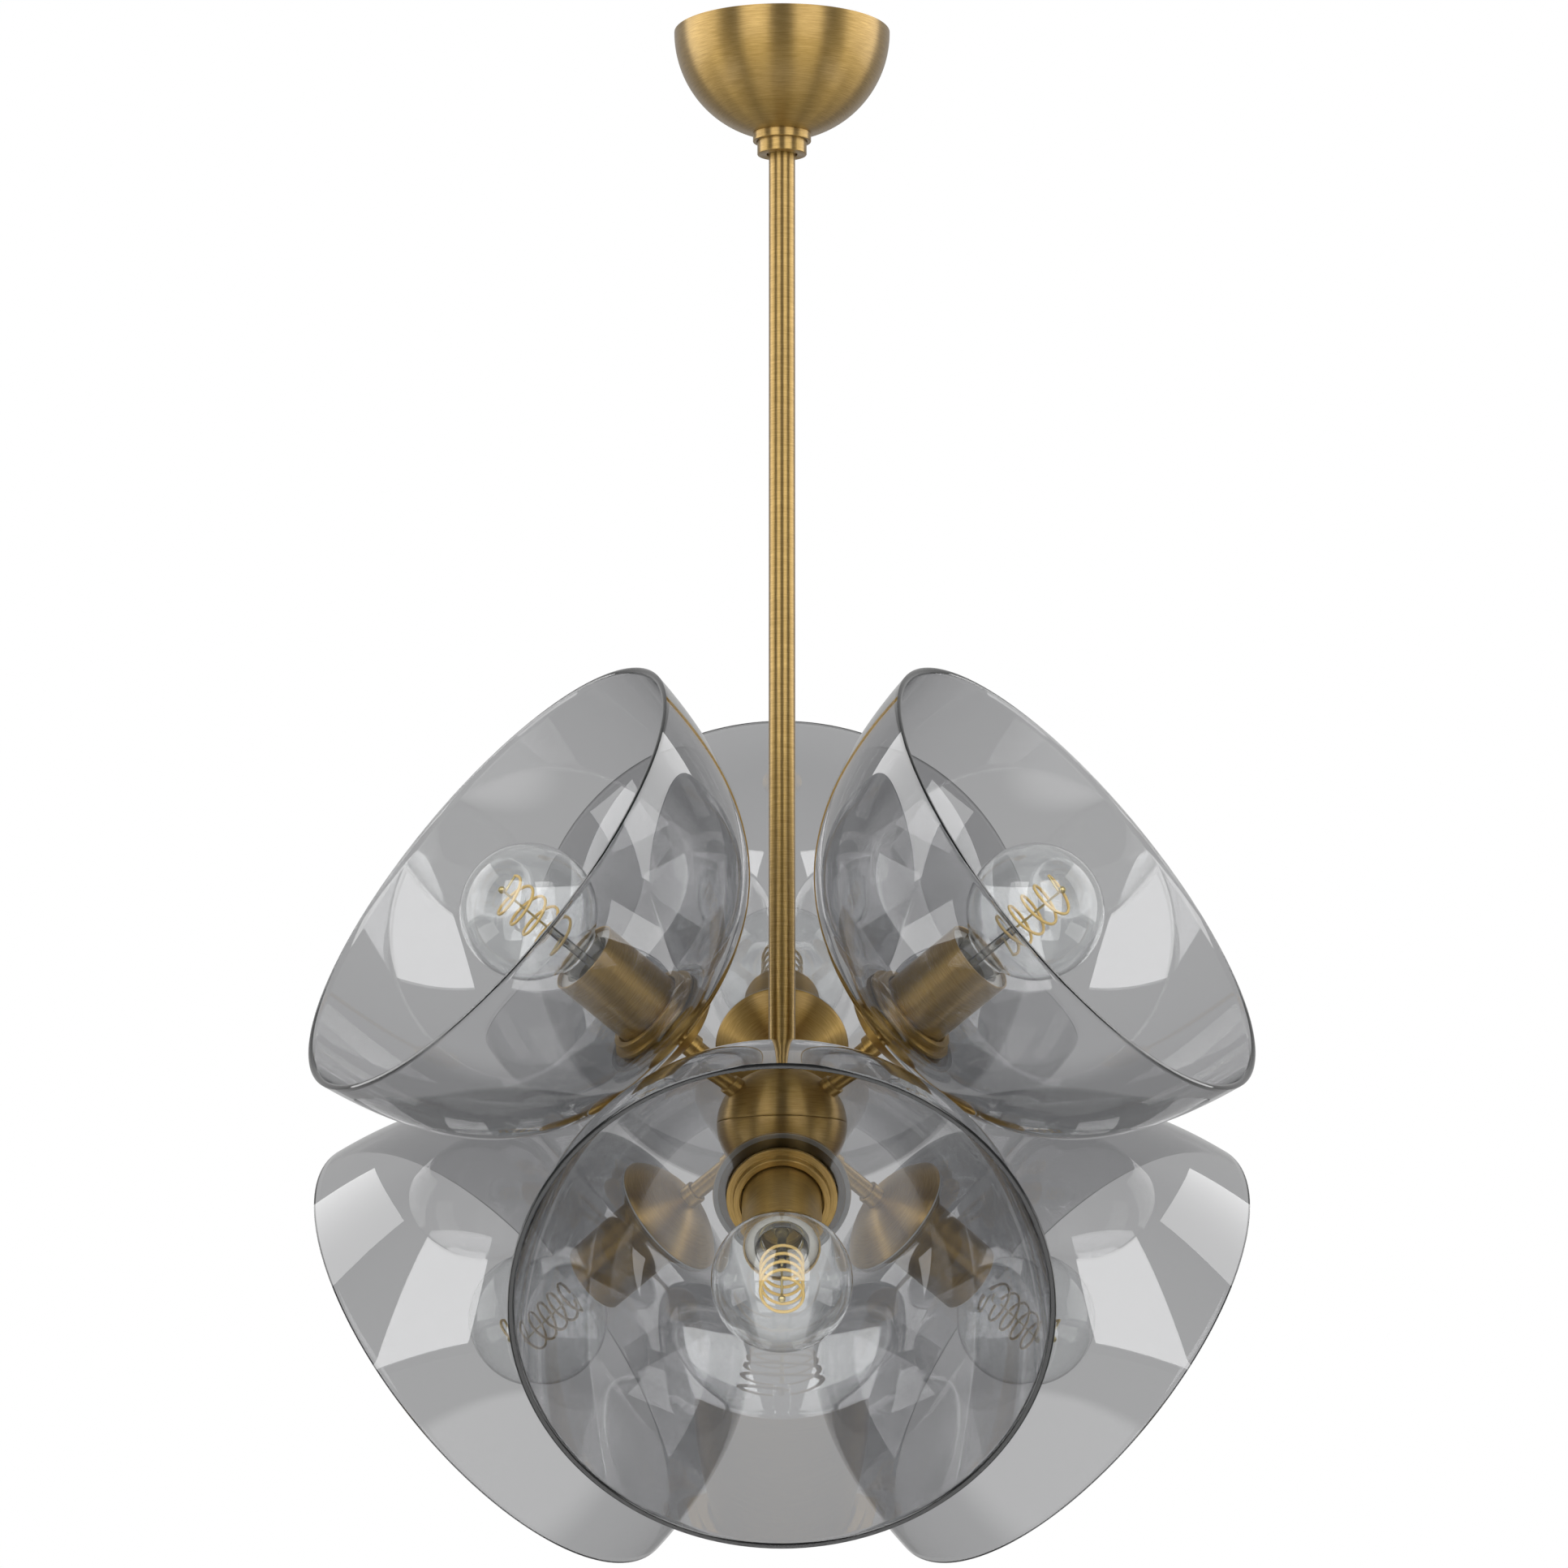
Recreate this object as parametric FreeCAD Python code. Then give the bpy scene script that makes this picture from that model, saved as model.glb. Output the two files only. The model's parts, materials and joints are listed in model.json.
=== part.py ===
"""Cluster pendant: a brass rod under a bowl canopy carries a ball hub with six arms, each with a
smoke glass bowl, a brass lamp cup and a globe bulb. Millimetres, +Z up, origin on the ceiling at the
centre of the canopy's rim."""

import FreeCAD, Part
import math
import os

Vector = FreeCAD.Vector
Rotation = FreeCAD.Rotation

# ---------------------------------------------------------------- driving dimensions, ceiling side
canopy_radius = 65.0
canopy_wall = 1.2
crossbar_length = 108.0
crossbar_width = 22.0
crossbar_thickness = 2.5
crossbar_corner_radius = 5.5
ceiling_screw_spacing = 88.9
ceiling_slot_width = 4.8
ceiling_slot_length = 12.0
nipple_radius = 4.95
nipple_bore_radius = 3.5
locknut_across_flats = 16.0
locknut_height = 4.0
earth_screw_offset = 22.0
earth_screw_radius = 2.0
earth_screw_head_radius = 4.0
earth_screw_head_height = 2.4

# ---------------------------------------------------------------- driving dimensions, swivel
canopy_ring_radius = 17.5
canopy_ring_height = 5.2
housing_radius = 14.85
housing_exposed_height = 8.0
housing_hidden_height = 11.0
housing_mouth_radius = 9.3
housing_side_wall = 3.3
cap_flange_height = 3.0
cap_plug_length = 7.0
pivot_above_mouth = 8.0
ball_radius = 11.0
ball_wire_hole_radius = 4.0
ball_shoulder_drop = 1.0
seat_thickness = 1.8
seat_inner_angle = 28.0
seat_outer_angle = 50.0

# ---------------------------------------------------------------- driving dimensions, rod and hub
rod_radius = 7.9
rod_wall = 1.6
canopy_to_hub = 659.0
hub_radius = 39.3
hub_wall = 3.5
hub_seam_gap = 0.3
hub_lip_height = 4.0
hub_lip_root_height = 8.8
hub_lip_thickness = 2.0
hub_boss_radius = 12.0
hub_boss_depth = 6.0
rod_engagement = 6.3
splice_radius = 9.0
splice_height = 15.0
splice_post_radius = 4.0

# ---------------------------------------------------------------- driving dimensions, arms
lights_per_tier = 3
upper_arm_elevation = 33.3
lower_arm_elevation = 33.0
upper_first_azimuth = 90.0
lower_first_azimuth = 270.0
arm_radius = 5.5
arm_wall = 1.5
arm_exposed = 38.7
arm_reach_in_lampholder = 24.3
arm_depth_in_hub = 4.0
collar_radius = 7.25
collar_height = 6.2
outer_collar_height = 7.5

# ---------------------------------------------------------------- driving dimensions, shade and holder
# Places along an arm are distances from the hub's centre.
holder_depth = 17.0
holder_rim_radius = 40.0
holder_bulge = 3.2
holder_wall = 1.2
holder_flange = 3.0
gasket_thickness = 1.0
gasket_inset = 0.3
shade_rim_radius = 152.5
shade_depth = 141.0
shade_glass = 3.5
shade_semi_depth = 257.0
shade_roundness = 2.89
shade_rim_crown = 0.9
shade_curve_points = 10
lock_ring_radius = 32.0
lock_ring_flange = 2.8
lock_ring_step_radius = 28.0
lock_ring_step = 5.2
lock_ring_mouth_radius = 24.1
lock_ring_thread_height = 3.2
lock_ring_bead = 0.6

# ---------------------------------------------------------------- driving dimensions, lamp cup and bulb
cup_radius = 22.9
cup_wall = 1.2
cup_boss_height = 7.3
cup_length = 72.5
lampholder_setback = 2.5
lampholder_floor = 2.4
shell_radius = 13.6
shell_depth = 33.0
mouth_flare = 2.6
mouth_flare_depth = 5.0
lampholder_post_radius = 10.0
bulb_radius = 40.0
bulb_contact_gap = 1.0
bulb_length = 118.0
bulb_wall = 1.0
bulb_neck_radius = 15.5
bulb_neck_length = 12.5
bulb_shoulder_radius = 20.9
base_radius = 13.2
base_wall = 0.5
base_length = 27.0
base_contact_radius = 5.0
base_contact_height = 1.6
base_insulator_height = 4.0
glass_in_base = 3.5
stem_foot_radius = 8.5
stem_foot_height = 1.2
stem_radius = 2.6
stem_length = 34.5
stem_wire_radius = 0.7
button_radius = 2.2
filament_coil_radius = 12.0
filament_radius = 0.9
filament_setback = 25.5
filament_length = 44.0
filament_turns = 4.5

# ---------------------------------------------------------------- driving dimensions, wires
wire_radius = 1.1
wire_offset = 1.7

# ---------------------------------------------------------------- clearances
seat_gap = 0.05
glass_seat_gap = 0.12
moving_gap = 0.35
ball_gap = 0.3
slide_gap = 0.4
small_chamfer = 0.4
wire_end_gap = 0.3
cutter_overrun = 1.0

# ---------------------------------------------------------------- places worked out from the above
canopy_seat_depth = math.sqrt(canopy_radius ** 2 - canopy_ring_radius ** 2)
housing_top_z = -canopy_seat_depth + housing_hidden_height
housing_bottom_z = -canopy_seat_depth - canopy_ring_height - housing_exposed_height
pivot_z = housing_bottom_z + pivot_above_mouth
rod_top_z = pivot_z - ball_shoulder_drop
hub_z = -canopy_to_hub
ceiling_hole_radius = housing_radius + moving_gap
housing_bore_radius = housing_radius - housing_side_wall
nipple_bottom_z = housing_top_z - cap_plug_length / 2
holder_neck = hub_radius + arm_exposed
gasket_front = holder_neck + holder_depth + gasket_thickness
gasket_inner_radius = holder_rim_radius - holder_flange
cup_hole_radius = cup_radius + slide_gap
shade_rim_place = gasket_front + shade_depth
cup_back = holder_neck + holder_wall + cup_boss_height
cup_front = cup_back + cup_length
arm_end = cup_back + cup_wall + arm_reach_in_lampholder
lampholder_front = cup_front - lampholder_setback
shell_back = lampholder_front - shell_depth
base_back = shell_back + bulb_contact_gap
base_front = base_back + base_length
bulb_centre = base_back + bulb_length - bulb_radius
bulb_neck_front = base_front + bulb_neck_length
stem_front = base_front + stem_length
filament_back = base_front + filament_setback
filament_front = filament_back + filament_length
arm_wire_offset = arm_radius - arm_wall - wire_radius - seat_gap
light_angles = []
for tier_index in range(lights_per_tier):
    light_angles.append((upper_first_azimuth + tier_index * 360.0 / lights_per_tier, upper_arm_elevation))
for tier_index in range(lights_per_tier):
    light_angles.append((lower_first_azimuth + tier_index * 360.0 / lights_per_tier, -lower_arm_elevation))


# ---------------------------------------------------------------- helpers
def ring(inner_radius, outer_radius, low, high):
    """A flat ring or tube round Z from height low to height high."""
    outer = Part.makeCylinder(outer_radius, high - low, Vector(0, 0, low))
    return outer.cut(Part.makeCylinder(inner_radius, high - low, Vector(0, 0, low)))


def turned(corners):
    """A solid turned round Z from a closed outline of (radius, height) corners."""
    points = [Vector(radius, 0, height) for radius, height in corners]
    return turned_wire(Part.makePolygon(points + points[:1]))


def turned_wire(wire):
    """A solid turned round Z from a closed wire in the XZ plane."""
    solid = Part.Face(wire).revolve(Vector(0, 0, 0), Vector(0, 0, 1), 360)
    return solid if solid.Volume > 0 else solid.reversed()


def line(start, end):
    """A straight edge between two (radius, height) points."""
    return Part.makeLine(Vector(start[0], 0, start[1]), Vector(end[0], 0, end[1]))


def arc(start, middle, end):
    """A circular edge through three (radius, height) points."""
    points = [Vector(radius, 0, height) for radius, height in (start, middle, end)]
    return Part.Arc(*points).toShape()


def curve(points):
    """A smooth edge through (radius, height) points."""
    spline = Part.BSplineCurve()
    spline.interpolate([Vector(radius, 0, height) for radius, height in points])
    return spline.toShape()


def middle_of(start, end, bulge):
    """The point beside the middle of a chord, bulge to its right-hand side."""
    run = (end[0] - start[0], end[1] - start[1])
    length = math.hypot(*run)
    return (
        (start[0] + end[0]) / 2 + bulge * run[1] / length,
        (start[1] + end[1]) / 2 - bulge * run[0] / length,
    )


def on_arm(shape, angles):
    """The shape, made along +Z from the hub's centre, turned to an arm's azimuth and elevation."""
    azimuth, elevation = angles
    turn = Rotation(Vector(0, 0, 1), azimuth) * Rotation(Vector(0, 1, 0), 90.0 - elevation)
    placed = shape.copy()
    placed.Placement = FreeCAD.Placement(Vector(0, 0, hub_z), turn)
    return placed


def on_every_arm(shape):
    """One copy of the shape on each arm, as separate solids."""
    return Part.makeCompound([on_arm(shape, angles) for angles in light_angles])


def rounded_ring(inner_radius, outer_radius, low, high):
    """A ring whose outer edges are broken by a small chamfer."""
    c = small_chamfer
    return turned([
        (inner_radius, low), (outer_radius - c, low), (outer_radius, low + c),
        (outer_radius, high - c), (outer_radius - c, high), (inner_radius, high),
    ])


# ---------------------------------------------------------------- ceiling side
def canopy():
    """A half-ball bowl, cut flat where its ring bears, with the hole that passes the swivel."""
    inner_radius = canopy_radius - canopy_wall
    bowl = Part.makeSphere(canopy_radius, Vector(), Vector(0, 0, 1), -90, 0, 360)
    bowl = bowl.cut(Part.makeSphere(inner_radius))
    below_seat = Part.makeBox(
        2 * canopy_radius, 2 * canopy_radius, canopy_radius,
        Vector(-canopy_radius, -canopy_radius, -canopy_seat_depth - canopy_radius))
    hole = Part.makeCylinder(ceiling_hole_radius, 2 * canopy_radius, Vector(0, 0, -2 * canopy_radius))
    return bowl.cut(below_seat).cut(hole)


def canopy_ring():
    """The wide ring that screws up the swivel housing and holds the canopy to the ceiling."""
    return rounded_ring(
        ceiling_hole_radius, canopy_ring_radius, -canopy_seat_depth - canopy_ring_height, -canopy_seat_depth)


def crossbar():
    """A steel strap with a slot at each end for the ceiling box and a hole for the nipple."""
    bar = Part.makeBox(
        crossbar_length, crossbar_width, crossbar_thickness,
        Vector(-crossbar_length / 2, -crossbar_width / 2, -crossbar_thickness))
    upright = [edge for edge in bar.Edges if round(abs(edge.tangentAt(edge.FirstParameter).z)) == 1]
    bar = bar.makeFillet(crossbar_corner_radius, upright)
    for side in (-1, 1):
        bar = bar.cut(slot(side * ceiling_screw_spacing / 2))
    bar = bar.cut(through_bar(nipple_radius + seat_gap, 0))
    return bar.cut(through_bar(earth_screw_radius + seat_gap, -earth_screw_offset))


def through_bar(radius, x):
    """A round cutter through the crossbar."""
    return Part.makeCylinder(radius, crossbar_thickness + 2 * cutter_overrun,
                             Vector(x, 0, -crossbar_thickness - cutter_overrun))


def slot(x):
    """A cutter for one round-ended slot of the crossbar."""
    radius = ceiling_slot_width / 2
    reach = ceiling_slot_length / 2 - radius
    middle = Part.makeBox(
        2 * reach, ceiling_slot_width, crossbar_thickness + 2 * cutter_overrun,
        Vector(x - reach, -radius, -crossbar_thickness - cutter_overrun))
    return middle.fuse([through_bar(radius, x - reach), through_bar(radius, x + reach)]).removeSplitter()


def crossbar_fasteners():
    """The hexagonal lock nut on the nipple and the earth screw, both against the crossbar's underside."""
    corner_radius = locknut_across_flats / math.sqrt(3)
    corners = [Vector(corner_radius * math.cos(math.radians(60 * k)),
                      corner_radius * math.sin(math.radians(60 * k)),
                      -crossbar_thickness - locknut_height) for k in range(6)]
    hexagon = Part.Face(Part.makePolygon(corners + corners[:1]))
    nut = hexagon.extrude(Vector(0, 0, locknut_height))
    nut = nut.cut(Part.makeCylinder(nipple_radius + seat_gap, locknut_height + 2 * cutter_overrun,
                                    Vector(0, 0, -crossbar_thickness - locknut_height - cutter_overrun)))
    head_bottom = -crossbar_thickness - earth_screw_head_height
    screw = turned([
        (0, head_bottom), (earth_screw_head_radius - small_chamfer, head_bottom),
        (earth_screw_head_radius, head_bottom + small_chamfer),
        (earth_screw_head_radius, -crossbar_thickness), (earth_screw_radius, -crossbar_thickness),
        (earth_screw_radius, 0), (0, 0),
    ])
    screw.translate(Vector(-earth_screw_offset, 0, 0))
    return Part.makeCompound([nut, screw])


def nipple():
    """The threaded tube from the crossbar down to the swivel's cap."""
    return ring(nipple_bore_radius, nipple_radius, nipple_bottom_z, 0)


def supply_leads():
    """The two wires that come down through the nipple."""
    low = pivot_z + ball_radius - wire_offset + 2 * wire_end_gap
    return wire_pair(wire_offset, low, -small_chamfer)


def wire_pair(offset, low, high):
    """Two straight insulated wires along Z, one at each side of the axis."""
    return Part.makeCompound([
        Part.makeCylinder(wire_radius, high - low, Vector(side * offset, 0, low)) for side in (-1, 1)])


# ---------------------------------------------------------------- swivel
def swivel_housing():
    """The turned collar: a bore that narrows as a ball socket to the mouth round the rod."""
    socket_radius = ball_radius + ball_gap
    body = rounded_ring(0.0, housing_radius, housing_bottom_z, housing_top_z)
    upper_bore = Part.makeCylinder(housing_bore_radius, housing_top_z - pivot_z, Vector(0, 0, pivot_z))
    socket = Part.makeSphere(socket_radius, Vector(0, 0, pivot_z))
    mouth = Part.makeCylinder(housing_mouth_radius, 2 * pivot_above_mouth,
                              Vector(0, 0, housing_bottom_z - pivot_above_mouth))
    return body.cut(upper_bore).cut(socket).cut(mouth)


def swivel_cap():
    """The plug that closes the housing, hollowed as part of a ball over the floating seat."""
    hollow_radius = ball_radius + 2 * ball_gap + seat_thickness
    flange = rounded_ring(nipple_radius + seat_gap, housing_radius, housing_top_z,
                          housing_top_z + cap_flange_height)
    plug = ring(nipple_radius + seat_gap, housing_bore_radius - seat_gap,
                housing_top_z - cap_plug_length, housing_top_z)
    return flange.fuse(plug).cut(Part.makeSphere(hollow_radius, Vector(0, 0, pivot_z))).removeSplitter()


def swivel_seat():
    """A floating plastic ring, part of a hollow ball, between the rod's ball and the cap."""
    inner = ball_radius + ball_gap / 2
    outer = inner + seat_thickness
    low, high = 90.0 - seat_outer_angle, 90.0 - seat_inner_angle
    middle = (low + high) / 2

    def point(radius, angle):
        return (radius * math.cos(math.radians(angle)), pivot_z + radius * math.sin(math.radians(angle)))

    edges = [
        arc(point(outer, low), point(outer, middle), point(outer, high)),
        line(point(outer, high), point(inner, high)),
        arc(point(inner, high), point(inner, middle), point(inner, low)),
        line(point(inner, low), point(outer, low)),
    ]
    return turned_wire(Part.Wire(edges))


def swivel_ball():
    """The ball on the rod's end, bored for the wires and counterbored for the rod."""
    ball = Part.makeSphere(ball_radius, Vector(0, 0, pivot_z))
    wire_hole = Part.makeCylinder(ball_wire_hole_radius, 2 * ball_radius, Vector(0, 0, pivot_z - ball_radius))
    rod_socket = Part.makeCylinder(rod_radius + seat_gap, ball_radius, Vector(0, 0, rod_top_z - ball_radius))
    return ball.cut(wire_hole).cut(rod_socket)


# ---------------------------------------------------------------- rod and hub
def rod():
    """One straight tube from the ball to the hub."""
    return ring(rod_radius - rod_wall, rod_radius, hub_z + hub_radius - rod_engagement, rod_top_z)


def hub_shell():
    """The hollow ball round the origin, before it is parted at its seam."""
    return Part.makeSphere(hub_radius).cut(Part.makeSphere(hub_radius - hub_wall))


def half_space(sign):
    """A box that covers one side of the seam plane, half a seam gap away from it."""
    size = 2 * hub_radius
    low = hub_seam_gap / 2 if sign > 0 else -hub_seam_gap / 2 - size
    return Part.makeBox(2 * size, 2 * size, size, Vector(-size, -size, low))


def arm_holes():
    """Cutters for the arm holes and the flats that the collars bear on, for all the arms."""
    flat = math.sqrt(hub_radius ** 2 - collar_radius ** 2)
    hole = Part.makeCylinder(arm_radius + seat_gap, hub_radius)
    spot = Part.makeCylinder(collar_radius + seat_gap, hub_radius, Vector(0, 0, flat))
    cutters = []
    for angles in light_angles:
        for cutter in (hole, spot):
            placed = on_arm(cutter, angles)
            placed.translate(Vector(0, 0, -hub_z))
            cutters.append(placed)
    return cutters


def hub_upper():
    """The upper half, with the boss for the rod and the lip that enters the lower half."""
    inner_radius = hub_radius - hub_wall
    lip_radius = math.sqrt(inner_radius ** 2 - hub_lip_height ** 2) - moving_gap
    lip = ring(lip_radius - hub_lip_thickness, lip_radius, -hub_lip_height, hub_lip_root_height)
    boss = Part.makeCylinder(hub_boss_radius, hub_boss_depth + hub_wall,
                             Vector(0, 0, hub_radius - hub_wall - hub_boss_depth))
    boss = boss.common(Part.makeSphere(hub_radius - small_chamfer))
    half = hub_shell().common(half_space(1)).fuse([lip, boss])
    rod_end = hub_radius - rod_engagement
    half = half.cut(Part.makeCylinder(rod_radius + seat_gap, hub_radius, Vector(0, 0, rod_end)))
    half = half.cut(Part.makeCylinder(rod_radius - rod_wall, hub_radius))
    half = half.cut(Part.makeCompound(arm_holes())).removeSplitter()
    half.translate(Vector(0, 0, hub_z))
    return half


def hub_lower():
    """The lower half, with the post that carries the splice block."""
    post_top = -splice_height / 2
    post = Part.makeCylinder(splice_post_radius, hub_radius - hub_wall / 2 + post_top,
                             Vector(0, 0, -hub_radius + hub_wall / 2))
    half = hub_shell().common(half_space(-1)).fuse(post)
    half = half.cut(Part.makeCompound(arm_holes())).removeSplitter()
    half.translate(Vector(0, 0, hub_z))
    return half


def arms():
    """The six straight tubes, from inside the hub to the back of the lampholder."""
    return on_every_arm(ring(arm_radius - arm_wall, arm_radius, hub_radius - hub_wall - arm_depth_in_hub, arm_end))


def arm_collars():
    """A ring on the hub's flat and a ring behind the shade holder, on each arm."""
    bore = arm_radius + seat_gap
    flat = math.sqrt(hub_radius ** 2 - collar_radius ** 2)
    hub_collar = rounded_ring(bore, collar_radius, flat, flat + collar_height)
    outer_collar = rounded_ring(bore, collar_radius, holder_neck - outer_collar_height, holder_neck)
    rings = []
    for angles in light_angles:
        rings.append(on_arm(hub_collar, angles))
        rings.append(on_arm(outer_collar, angles))
    return Part.makeCompound(rings)


def wiring_harness():
    """The pair down the rod, the splice block on its post and a pair out to each lampholder."""
    splice_low = hub_z - splice_height / 2
    splice_high = splice_low + splice_height
    splice = Part.makeCylinder(splice_radius, splice_height, Vector(0, 0, splice_low))
    splice_reach = math.hypot(splice_radius, splice_height / 2)
    top = pivot_z + ball_radius - wire_offset
    pieces = [splice] + wire_pair(wire_offset, splice_high + wire_end_gap, top).Solids
    pair = wire_pair(arm_wire_offset, splice_reach + wire_end_gap, arm_end - wire_end_gap)
    for angles in light_angles:
        pieces.extend(on_arm(pair, angles).Solids)
    return Part.makeCompound(pieces)


# ---------------------------------------------------------------- shade and its holder
def shade_holder():
    """The spun cone behind the glass: a bulging wall with a flange turned in at its rim."""
    neck_radius = arm_radius + seat_gap
    start = (collar_radius, holder_neck)
    rim = (holder_rim_radius, holder_neck + holder_depth - holder_wall)
    rim_front = (holder_rim_radius, holder_neck + holder_depth)
    flange_front = (holder_rim_radius - holder_flange, holder_neck + holder_depth)
    flange_back = (holder_rim_radius - holder_flange, holder_neck + holder_depth - holder_wall)
    inner_start = (collar_radius, holder_neck + holder_wall)
    inner_rim = (holder_rim_radius - holder_flange + holder_wall, holder_neck + holder_depth - holder_wall)
    edges = [
        line((neck_radius, holder_neck), start),
        arc(start, middle_of(start, rim, holder_bulge), rim),
        line(rim, rim_front),
        line(rim_front, flange_front),
        line(flange_front, flange_back),
        line(flange_back, inner_rim),
        arc(inner_rim, middle_of(inner_start, inner_rim, holder_bulge), inner_start),
        line(inner_start, (neck_radius, holder_neck + holder_wall)),
        line((neck_radius, holder_neck + holder_wall), (neck_radius, holder_neck)),
    ]
    return turned_wire(Part.Wire(edges))


def shade_gasket():
    """The soft ring between the cone's flange and the glass."""
    return ring(gasket_inner_radius, holder_rim_radius - gasket_inset, gasket_front - gasket_thickness,
                gasket_front)


def shade_curve(inset):
    """The bowl's wall as (radius, place) points: a superellipse, inset from the outer surface."""
    power = 2.0 / shade_roundness
    semi_depth = shade_semi_depth - inset
    semi_radius = shade_semi_radius() - inset
    centre = shade_back() + shade_semi_depth
    rim_place = shade_rim_place - shade_rim_crown
    first = math.asin((cup_hole_radius / semi_radius) ** (1.0 / power))
    last = math.acos(((centre - rim_place) / semi_depth) ** (1.0 / power))
    points = []
    for k in range(shade_curve_points):
        angle = first + (last - first) * k / (shade_curve_points - 1)
        points.append((semi_radius * math.sin(angle) ** power, centre - semi_depth * math.cos(angle) ** power))
    return points


def shade_semi_radius():
    """The superellipse's half width, from the rim's radius and the bowl's depth."""
    depth = shade_rim_place - shade_rim_crown - gasket_front
    across = ((shade_semi_depth - depth) / shade_semi_depth) ** shade_roundness
    return shade_rim_radius / (1.0 - across) ** (1.0 / shade_roundness)


def shade_back():
    """The place of the bowl's lowest point, so that the glass just bears on the gasket."""
    across = (gasket_inner_radius / shade_semi_radius()) ** shade_roundness
    rise = shade_semi_depth * (1.0 - (1.0 - across) ** (1.0 / shade_roundness))
    return gasket_front - rise + glass_seat_gap


def shade():
    """A smoke glass bowl with a round hole at the back and a fire-polished rim."""
    outer = shade_curve(0.0)
    inner = shade_curve(shade_glass)
    crown = ((outer[-1][0] + inner[-1][0]) / 2, shade_rim_place)
    edges = [
        curve(outer),
        arc(outer[-1], crown, inner[-1]),
        curve(inner[::-1]),
        line(inner[0], outer[0]),
    ]
    return turned_wire(Part.Wire(edges))


def lock_ring_back():
    """The place of the lock ring's back face, just clear of the glass at the flange's edge."""
    semi_depth = shade_semi_depth - shade_glass
    semi_radius = shade_semi_radius() - shade_glass
    across = (lock_ring_radius / semi_radius) ** shade_roundness
    centre = shade_back() + shade_semi_depth
    return centre - semi_depth * (1.0 - across) ** (1.0 / shade_roundness) + moving_gap


def lock_ring():
    """The stepped ring that screws along the cup and clamps the glass."""
    back = lock_ring_back()
    flange_front = back + lock_ring_flange
    front = flange_front + lock_ring_step
    c = small_chamfer
    bore = cup_radius + moving_gap
    return turned([
        (bore, back), (lock_ring_radius, back), (lock_ring_radius, flange_front - c),
        (lock_ring_radius - c, flange_front), (lock_ring_step_radius + lock_ring_bead, flange_front),
        (lock_ring_step_radius, flange_front + lock_ring_bead), (lock_ring_step_radius, front - c),
        (lock_ring_step_radius - c, front), (lock_ring_mouth_radius + c, front),
        (lock_ring_mouth_radius, front - c), (lock_ring_mouth_radius, back + lock_ring_thread_height),
        (bore, back + lock_ring_thread_height),
    ])


# ---------------------------------------------------------------- lamp cup and lampholder
def socket_cup():
    """The brass cylinder round the lampholder, with a boss that bears on the holder's neck."""
    neck = holder_neck + holder_wall
    boss_radius = collar_radius - seat_gap
    bore = arm_radius + seat_gap
    c = small_chamfer
    return turned([
        (bore, neck), (boss_radius, neck), (boss_radius, cup_back),
        (cup_radius - c, cup_back), (cup_radius, cup_back + c), (cup_radius, cup_front - c),
        (cup_radius - c, cup_front), (cup_radius - cup_wall, cup_front),
        (cup_radius - cup_wall, cup_back + cup_wall), (bore, cup_back + cup_wall),
    ])


def lampholder():
    """The ceramic lampholder: a post on the arm's end and a skirt with the screw shell's bore."""
    skirt_radius = cup_radius - cup_wall - seat_gap
    post_back = cup_back + cup_wall
    bore = arm_radius + seat_gap
    wire_bore = arm_radius - arm_wall
    skirt_back = arm_end - lampholder_floor
    return turned([
        (bore, post_back), (lampholder_post_radius, post_back), (lampholder_post_radius, skirt_back),
        (skirt_radius, skirt_back), (skirt_radius, lampholder_front),
        (shell_radius + mouth_flare, lampholder_front), (shell_radius, lampholder_front - mouth_flare_depth),
        (shell_radius, shell_back), (wire_bore, shell_back), (wire_bore, arm_end), (bore, arm_end),
    ])


# ---------------------------------------------------------------- bulb
def bulb_wall_curve(inset):
    """One surface of the bulb's glass: (tip edge, neck edge, end point) from the tip to the neck's end."""
    radius = bulb_radius - inset
    neck = bulb_neck_radius - inset
    end_radius = base_radius - base_wall - seat_gap - inset
    shoulder_radius = bulb_shoulder_radius - inset
    join = bulb_centre - math.sqrt(radius ** 2 - shoulder_radius ** 2)
    tip = (0, bulb_centre + radius)
    side = (radius, bulb_centre)
    shoulder = (shoulder_radius, join)
    waist = (neck, bulb_neck_front)
    end = (end_radius, base_front)
    foot = (end_radius, base_front - glass_in_base)
    return [arc(tip, side, shoulder), line(shoulder, waist), line(waist, end), line(end, foot)], foot


def bulb_glass():
    """The clear globe with its neck, a hollow wall down into the base."""
    outer, outer_foot = bulb_wall_curve(0.0)
    inner, inner_foot = bulb_wall_curve(bulb_wall)
    tip_outer = (0, bulb_centre + bulb_radius)
    tip_inner = (0, bulb_centre + bulb_radius - bulb_wall)
    edges = outer + [line(outer_foot, inner_foot)] + inner[::-1] + [line(tip_inner, tip_outer)]
    return turned_wire(Part.Wire(Part.__sortEdges__(edges)))


def bulb_base():
    """The thin screw base with its insulator and centre contact."""
    inner_radius = base_radius - base_wall
    contact_top = base_back + base_contact_height
    insulator_top = contact_top + base_insulator_height
    return turned([
        (0, base_back), (base_contact_radius, base_back), (base_contact_radius, contact_top),
        (base_radius, insulator_top), (base_radius, base_front), (inner_radius, base_front),
        (inner_radius, insulator_top), (0, insulator_top),
    ])


def spiral_point(turns):
    """The point of the spiral's centre line after so many turns from its back end."""
    angle = 2 * math.pi * turns
    return Vector(
        filament_coil_radius * math.cos(angle), filament_coil_radius * math.sin(angle),
        filament_back + filament_length * turns / filament_turns)


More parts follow.
